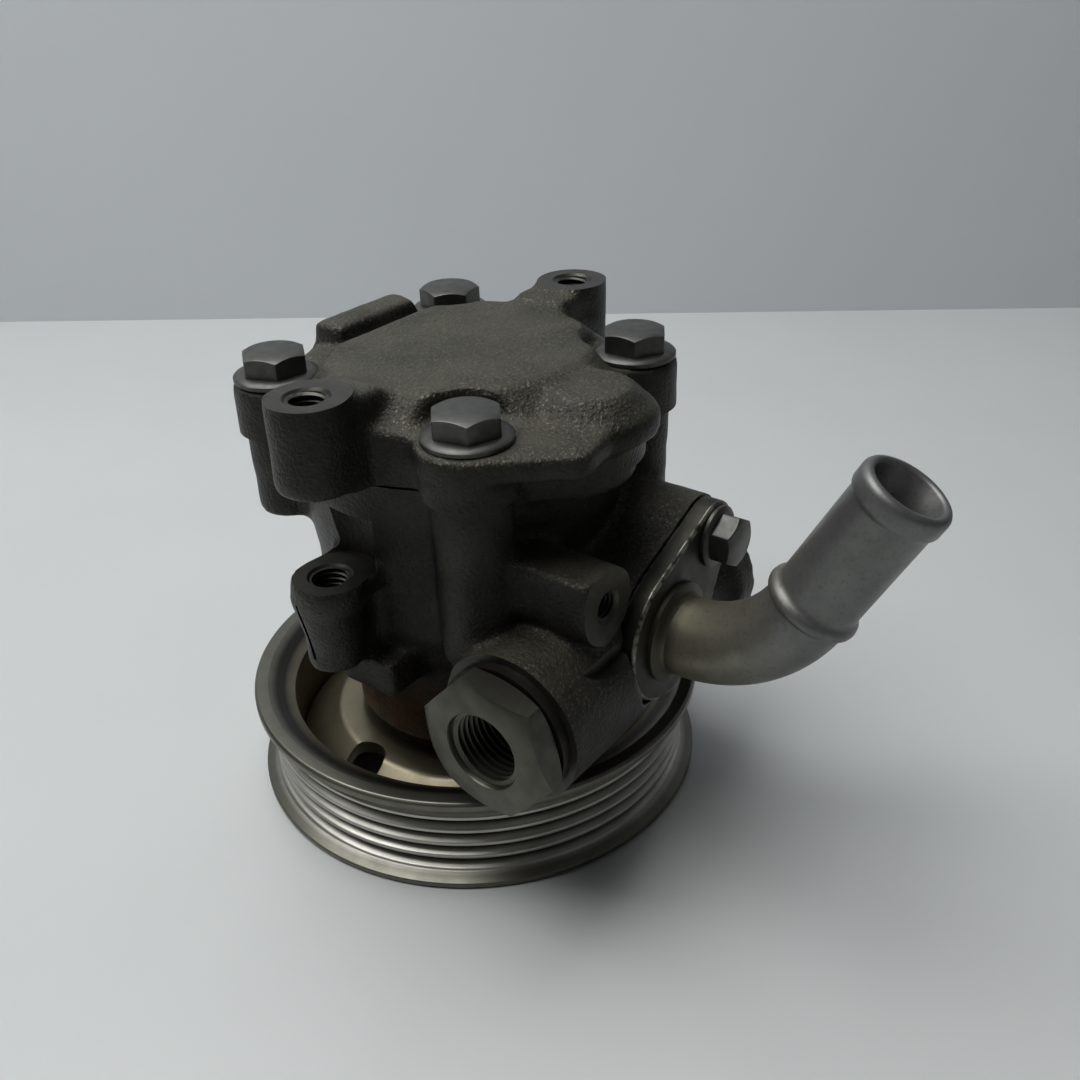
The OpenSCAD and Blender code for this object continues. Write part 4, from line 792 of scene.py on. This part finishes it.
bmesh.ops.transform(pipe, matrix=upright(*suction_at) @ pipe_roll, verts=pipe.verts[:])
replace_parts(finished("suction_pipe_tube", pipe, (pipe_steel,), "pump_body", sharp=50),
            "suction_pipe")

# Pulley: a spun steel rim with five belt grooves and a pressed web inside it, zinc plated. The belt
# keeps the ridges bright, and dirt dulls the flanges.

# Zinc plating on turned steel: rings from the lathe, drawn 0.35 mm apart so that they show, a dull
# film on the flanges, polish where the belt runs, painted shade in the grooves and a tan stain inside.
pulley_steel, tree, shader, place = surface("zinc_plated_pulley_steel")
parts = add_node(tree, "ShaderNodeSeparateXYZ", {"Vector": place}).outputs
flat_way = add_node(tree, "ShaderNodeCombineXYZ", {"X": parts["X"], "Y": parts["Y"]})
radius = add_node(tree, "ShaderNodeVectorMath", {0: flat_way.outputs["Vector"]},
                  operation="LENGTH").outputs["Value"]
rings = add_node(tree, "ShaderNodeCombineXYZ", {"X": radius, "Y": parts["Z"]})
lathe = add_node(tree, "ShaderNodeTexNoise",
                 {"Vector": rings.outputs["Vector"], "Scale": 1 / (0.35 * MM), "Detail": 2})
film = add_node(tree, "ShaderNodeTexNoise",
                {"Vector": place, "Scale": 1 / (8 * MM), "Detail": 6, "Roughness": 0.65})
dull = add_node(tree, "ShaderNodeMix",
                {0: film.outputs["Fac"], 6: linear("5a5951"), 7: linear("7c7a70")}, data_type="RGBA")
belt_low = add_node(tree, "ShaderNodeMapRange",
                    {"Value": parts["Z"], "From Min": 2.2 * MM, "From Max": 3 * MM})
belt_high = add_node(tree, "ShaderNodeMapRange",
                     {"Value": parts["Z"], "From Min": 20.6 * MM, "From Max": 20 * MM})
belt = add_node(tree, "ShaderNodeMath", {0: belt_low.outputs["Result"], 1: belt_high.outputs["Result"]},
                operation="MULTIPLY").outputs["Value"]
polish = add_node(tree, "ShaderNodeMix",
                  {0: film.outputs["Fac"], 6: linear("9c9a92"), 7: linear("d2d0c8")}, data_type="RGBA")
bright = add_node(tree, "ShaderNodeMix",
                  {0: belt, 6: dull.outputs[2], 7: polish.outputs[2]}, data_type="RGBA")
# Painted shade in the grooves: darker towards the groove bottoms, between the ridges.
groove = add_node(tree, "ShaderNodeMapRange",
                  {"Value": radius, "From Min": 49 * MM, "From Max": 47.6 * MM, "To Max": 0.92})
inside = add_node(tree, "ShaderNodeMapRange",
                  {"Value": radius, "From Min": 44 * MM, "From Max": 46 * MM})
groove_shade = add_node(tree, "ShaderNodeMath", {0: groove.outputs["Result"], 1: inside.outputs["Result"]},
                operation="MULTIPLY").outputs["Value"]
groove_shaded = add_node(tree, "ShaderNodeMix",
                  {0: groove_shade, 6: bright.outputs[2], 7: linear("2b2a26")}, data_type="RGBA")
web_tan = add_node(tree, "ShaderNodeMix",
                   {0: film.outputs["Fac"], 6: linear("66604f"), 7: linear("8f8874")}, data_type="RGBA")
pulley_tone = add_node(tree, "ShaderNodeMix",
                       {0: inside.outputs["Result"], 6: web_tan.outputs[2], 7: groove_shaded.outputs[2]},
                       data_type="RGBA")
tree.links.new(pulley_tone.outputs[2], shader.inputs["Base Color"])
shader.inputs["Metallic"].default_value = 0.9
pulley_gloss = add_node(tree, "ShaderNodeMapRange",
                        {"Value": film.outputs["Fac"], "To Min": 0.46, "To Max": 0.26})
tree.links.new(pulley_gloss.outputs["Result"], shader.inputs["Roughness"])
bump = add_node(tree, "ShaderNodeBump",
                {"Height": lathe.outputs["Fac"], "Strength": 0.2, "Distance": 0.05 * MM})
tree.links.new(bump.outputs["Normal"], shader.inputs["Normal"])

rim_outline = [(43.5, 1), (44.5, 0), (52.1, 0), (52.7, 0.6), (52.7, 1.6), (49.9, 2.6)]
groove_rows, groove_pitch, first_groove_z = 5, 3.56, 2.6
for row in range(groove_rows):
    z = first_groove_z + groove_pitch * row
    rim_outline += [(49.5, z + 0.43), (46.8, z + 1.5), (46.8, z + 2.06), (49.5, z + 3.13)]
rim_outline += [(49.9, 20.4), (52.7, 21.7), (52.7, 23.1), (52.1, 23.7), (49.5, 23.7), (43.5, 20.4)]
pulley_rim = finished("pulley_grooved_rim", turn(rim_outline, corner=0.22, steps=180), (pulley_steel,),
                      "rotating_group")
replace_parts(pulley_rim, "pulley_rim")
web_blank = turn([(10.02, 8), (23, 8), (27.5, 11), (33.5, 11), (43.48, 3), (43.48, 6), (33.5, 14),
                  (27.5, 14), (23, 11), (10.02, 11)], corner=0.9, steps=144)
pulley_bolt_at = around(3, 15.5)
web_cutters = [rod(4.3, -1, 20, upright(*at)) for at in pulley_bolt_at]
web_cutters += [rod(5, -1, 20, upright(*at)) for at in around(4, 35.5, 261.5)]
pulley_web = finished("pulley_pressed_web", work(web_blank, web_cutters, (pulley_steel,)),
                      (pulley_steel,), "rotating_group")
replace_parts(pulley_web, "pulley_web")

# Hub: a turned steel flange pressed on the shaft, rusty where it stands open in the pulley. Three
# bolts clamp the pulley's web to it.

# Rusty turned steel: bare grey patches between rough brown rust, which hides the metal's gloss.
hub_steel, tree, shader, place = surface("rusty_turned_steel")
scale_patch = add_node(tree, "ShaderNodeTexNoise",
                       {"Vector": place, "Scale": 1 / (5 * MM), "Detail": 7, "Roughness": 0.7})
rust_share = add_node(
    tree, "ShaderNodeMapRange",
    {"Value": scale_patch.outputs["Fac"], "From Min": 0.4, "From Max": 0.62}).outputs["Result"]
hub_tone = add_node(tree, "ShaderNodeMix",
                    {0: rust_share, 6: linear("5c5850"), 7: linear("5b3a25")}, data_type="RGBA")
tree.links.new(hub_tone.outputs[2], shader.inputs["Base Color"])
hub_metal = add_node(tree, "ShaderNodeMapRange", {"Value": rust_share, "To Min": 0.85, "To Max": 0.15})
tree.links.new(hub_metal.outputs["Result"], shader.inputs["Metallic"])
hub_gloss = add_node(tree, "ShaderNodeMapRange", {"Value": rust_share, "To Min": 0.4, "To Max": 0.8})
tree.links.new(hub_gloss.outputs["Result"], shader.inputs["Roughness"])
bump = add_node(tree, "ShaderNodeBump",
                {"Height": scale_patch.outputs["Fac"], "Strength": 0.4, "Distance": 0.15 * MM})
tree.links.new(bump.outputs["Normal"], shader.inputs["Normal"])

hub_blank = turn([(8.52, 8), (10, 8), (10, 11), (22, 11), (22, 16), (12.45, 16), (12.45, 21.08),
                  (8.52, 21.08)], corner=0.3, steps=96)
hub_cutters = [rod(4, 5, 18, upright(*at)) for at in pulley_bolt_at]
hub = finished("pulley_hub_flange", work(hub_blank, hub_cutters, (hub_steel,)), (hub_steel,),
               "rotating_group")
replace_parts(hub, "pulley_hub")
web_front_z = 8
head_down = Matrix.Rotation(math.pi, 4, "X")
web_bolts = gather([
    flange_bolt(flats=11.16, hex_h=5, flange_r=6.82, flange_t=1.2, thread_r=4, length=8,
                where=upright(at.x, at.y, web_front_z) @ head_down) for at in pulley_bolt_at])
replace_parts(finished("pulley_web_bolts", web_bolts, (bolt_steel,), "rotating_group"),
            "pulley_bolts")

# Inner pieces: the pump set, valve, bearing, seals, plate spring and clips keep their CAD shapes,
# which are what the real pieces are. They get the finishes that grinding, casting and moulding give.

# Each finish has its dark and pale colour, metallic, roughness, and grain size and depth in mm. Ground
# steel is bright and fine, spring steel satin, bronze warm, sintered steel and nitrile matt, and the
# copper ring is dull with oil.
inner_finishes = {
    "ground_bearing_steel": ("8d8d8b", "b9b9b7", 1.0, 0.22, 0.25, 0.02),
    "coiled_spring_steel": ("55554f", "7d7c77", 0.9, 0.36, 0.8, 0.03),
    "cast_bronze": ("6b4f2c", "94703f", 0.95, 0.38, 0.7, 0.04),
    "sintered_steel": ("5a5a57", "777673", 0.8, 0.55, 0.25, 0.06),
    "moulded_nitrile_rubber": ("101010", "1c1c1c", 0.0, 0.55, 0.6, 0.05),
    "dull_copper": ("26241f", "413d35", 0.8, 0.45, 1.2, 0.04)}
inner_materials = {}
for name, (dark, pale, metallic, rough, grain_mm, depth_mm) in inner_finishes.items():
    inner_materials[name], tree, shader, place = surface(name)
    grain = add_node(tree, "ShaderNodeTexNoise",
                     {"Vector": place, "Scale": 1 / (grain_mm * MM), "Detail": 3})
    mottle = add_node(tree, "ShaderNodeTexNoise", {"Vector": place, "Scale": 1 / (6 * MM), "Detail": 4})
    tone = add_node(tree, "ShaderNodeMix",
                    {0: mottle.outputs["Fac"], 6: linear(dark), 7: linear(pale)}, data_type="RGBA")
    tree.links.new(tone.outputs[2], shader.inputs["Base Color"])
    shader.inputs["Metallic"].default_value = metallic
    gloss = add_node(tree, "ShaderNodeMapRange",
                     {"Value": grain.outputs["Fac"], "To Min": rough - 0.1, "To Max": rough + 0.1})
    tree.links.new(gloss.outputs["Result"], shader.inputs["Roughness"])
    bump = add_node(tree, "ShaderNodeBump",
                    {"Height": grain.outputs["Fac"], "Strength": 0.3, "Distance": depth_mm * MM})
    tree.links.new(bump.outputs["Normal"], shader.inputs["Normal"])
inner_nodes = {
    "ground_bearing_steel": (
        "flow_valve_spool", "relief_seat", "relief_ball", "drive_shaft", "bearing_outer_ring",
        "bearing_inner_ring", "bearing_balls", "cam_ring", "rotor", "vanes", "dowel_pins"),
    "coiled_spring_steel": ("plate_spring", "bearing_circlip", "rotor_circlip"),
    "cast_bronze": ("bearing_cage", "shaft_bush"),
    "sintered_steel": ("front_plate", "rear_plate"),
    "moulded_nitrile_rubber": ("cover_seal", "suction_seal", "shaft_seal", "plate_seal"),
    "dull_copper": ("union_seal",)}
for name, nodes in inner_nodes.items():
    for node in nodes:
        for slot in cad[node].material_slots:
            slot.material = inner_materials[name]

# Valve springs: cold coiled steel wire, between the housing's bore end and the spool, and between
# the spool's inside and the relief ball. The real coils shorten towards their fixed ends as the valves
# open; here they keep their CAD shape.
for node, name, body, joint, fixed_y, travel in (
        ("flow_valve_spring", "flow_valve_coil", "pump_body", "flow_valve_slide", 30, 6),
        ("relief_spring", "relief_coil", "valve_spool", "relief_lift", -13.7, 1)):
    coil = finished(name, cad_copy(node), (inner_materials["coiled_spring_steel"],), body)
    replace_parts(coil, node)
    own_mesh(coil)
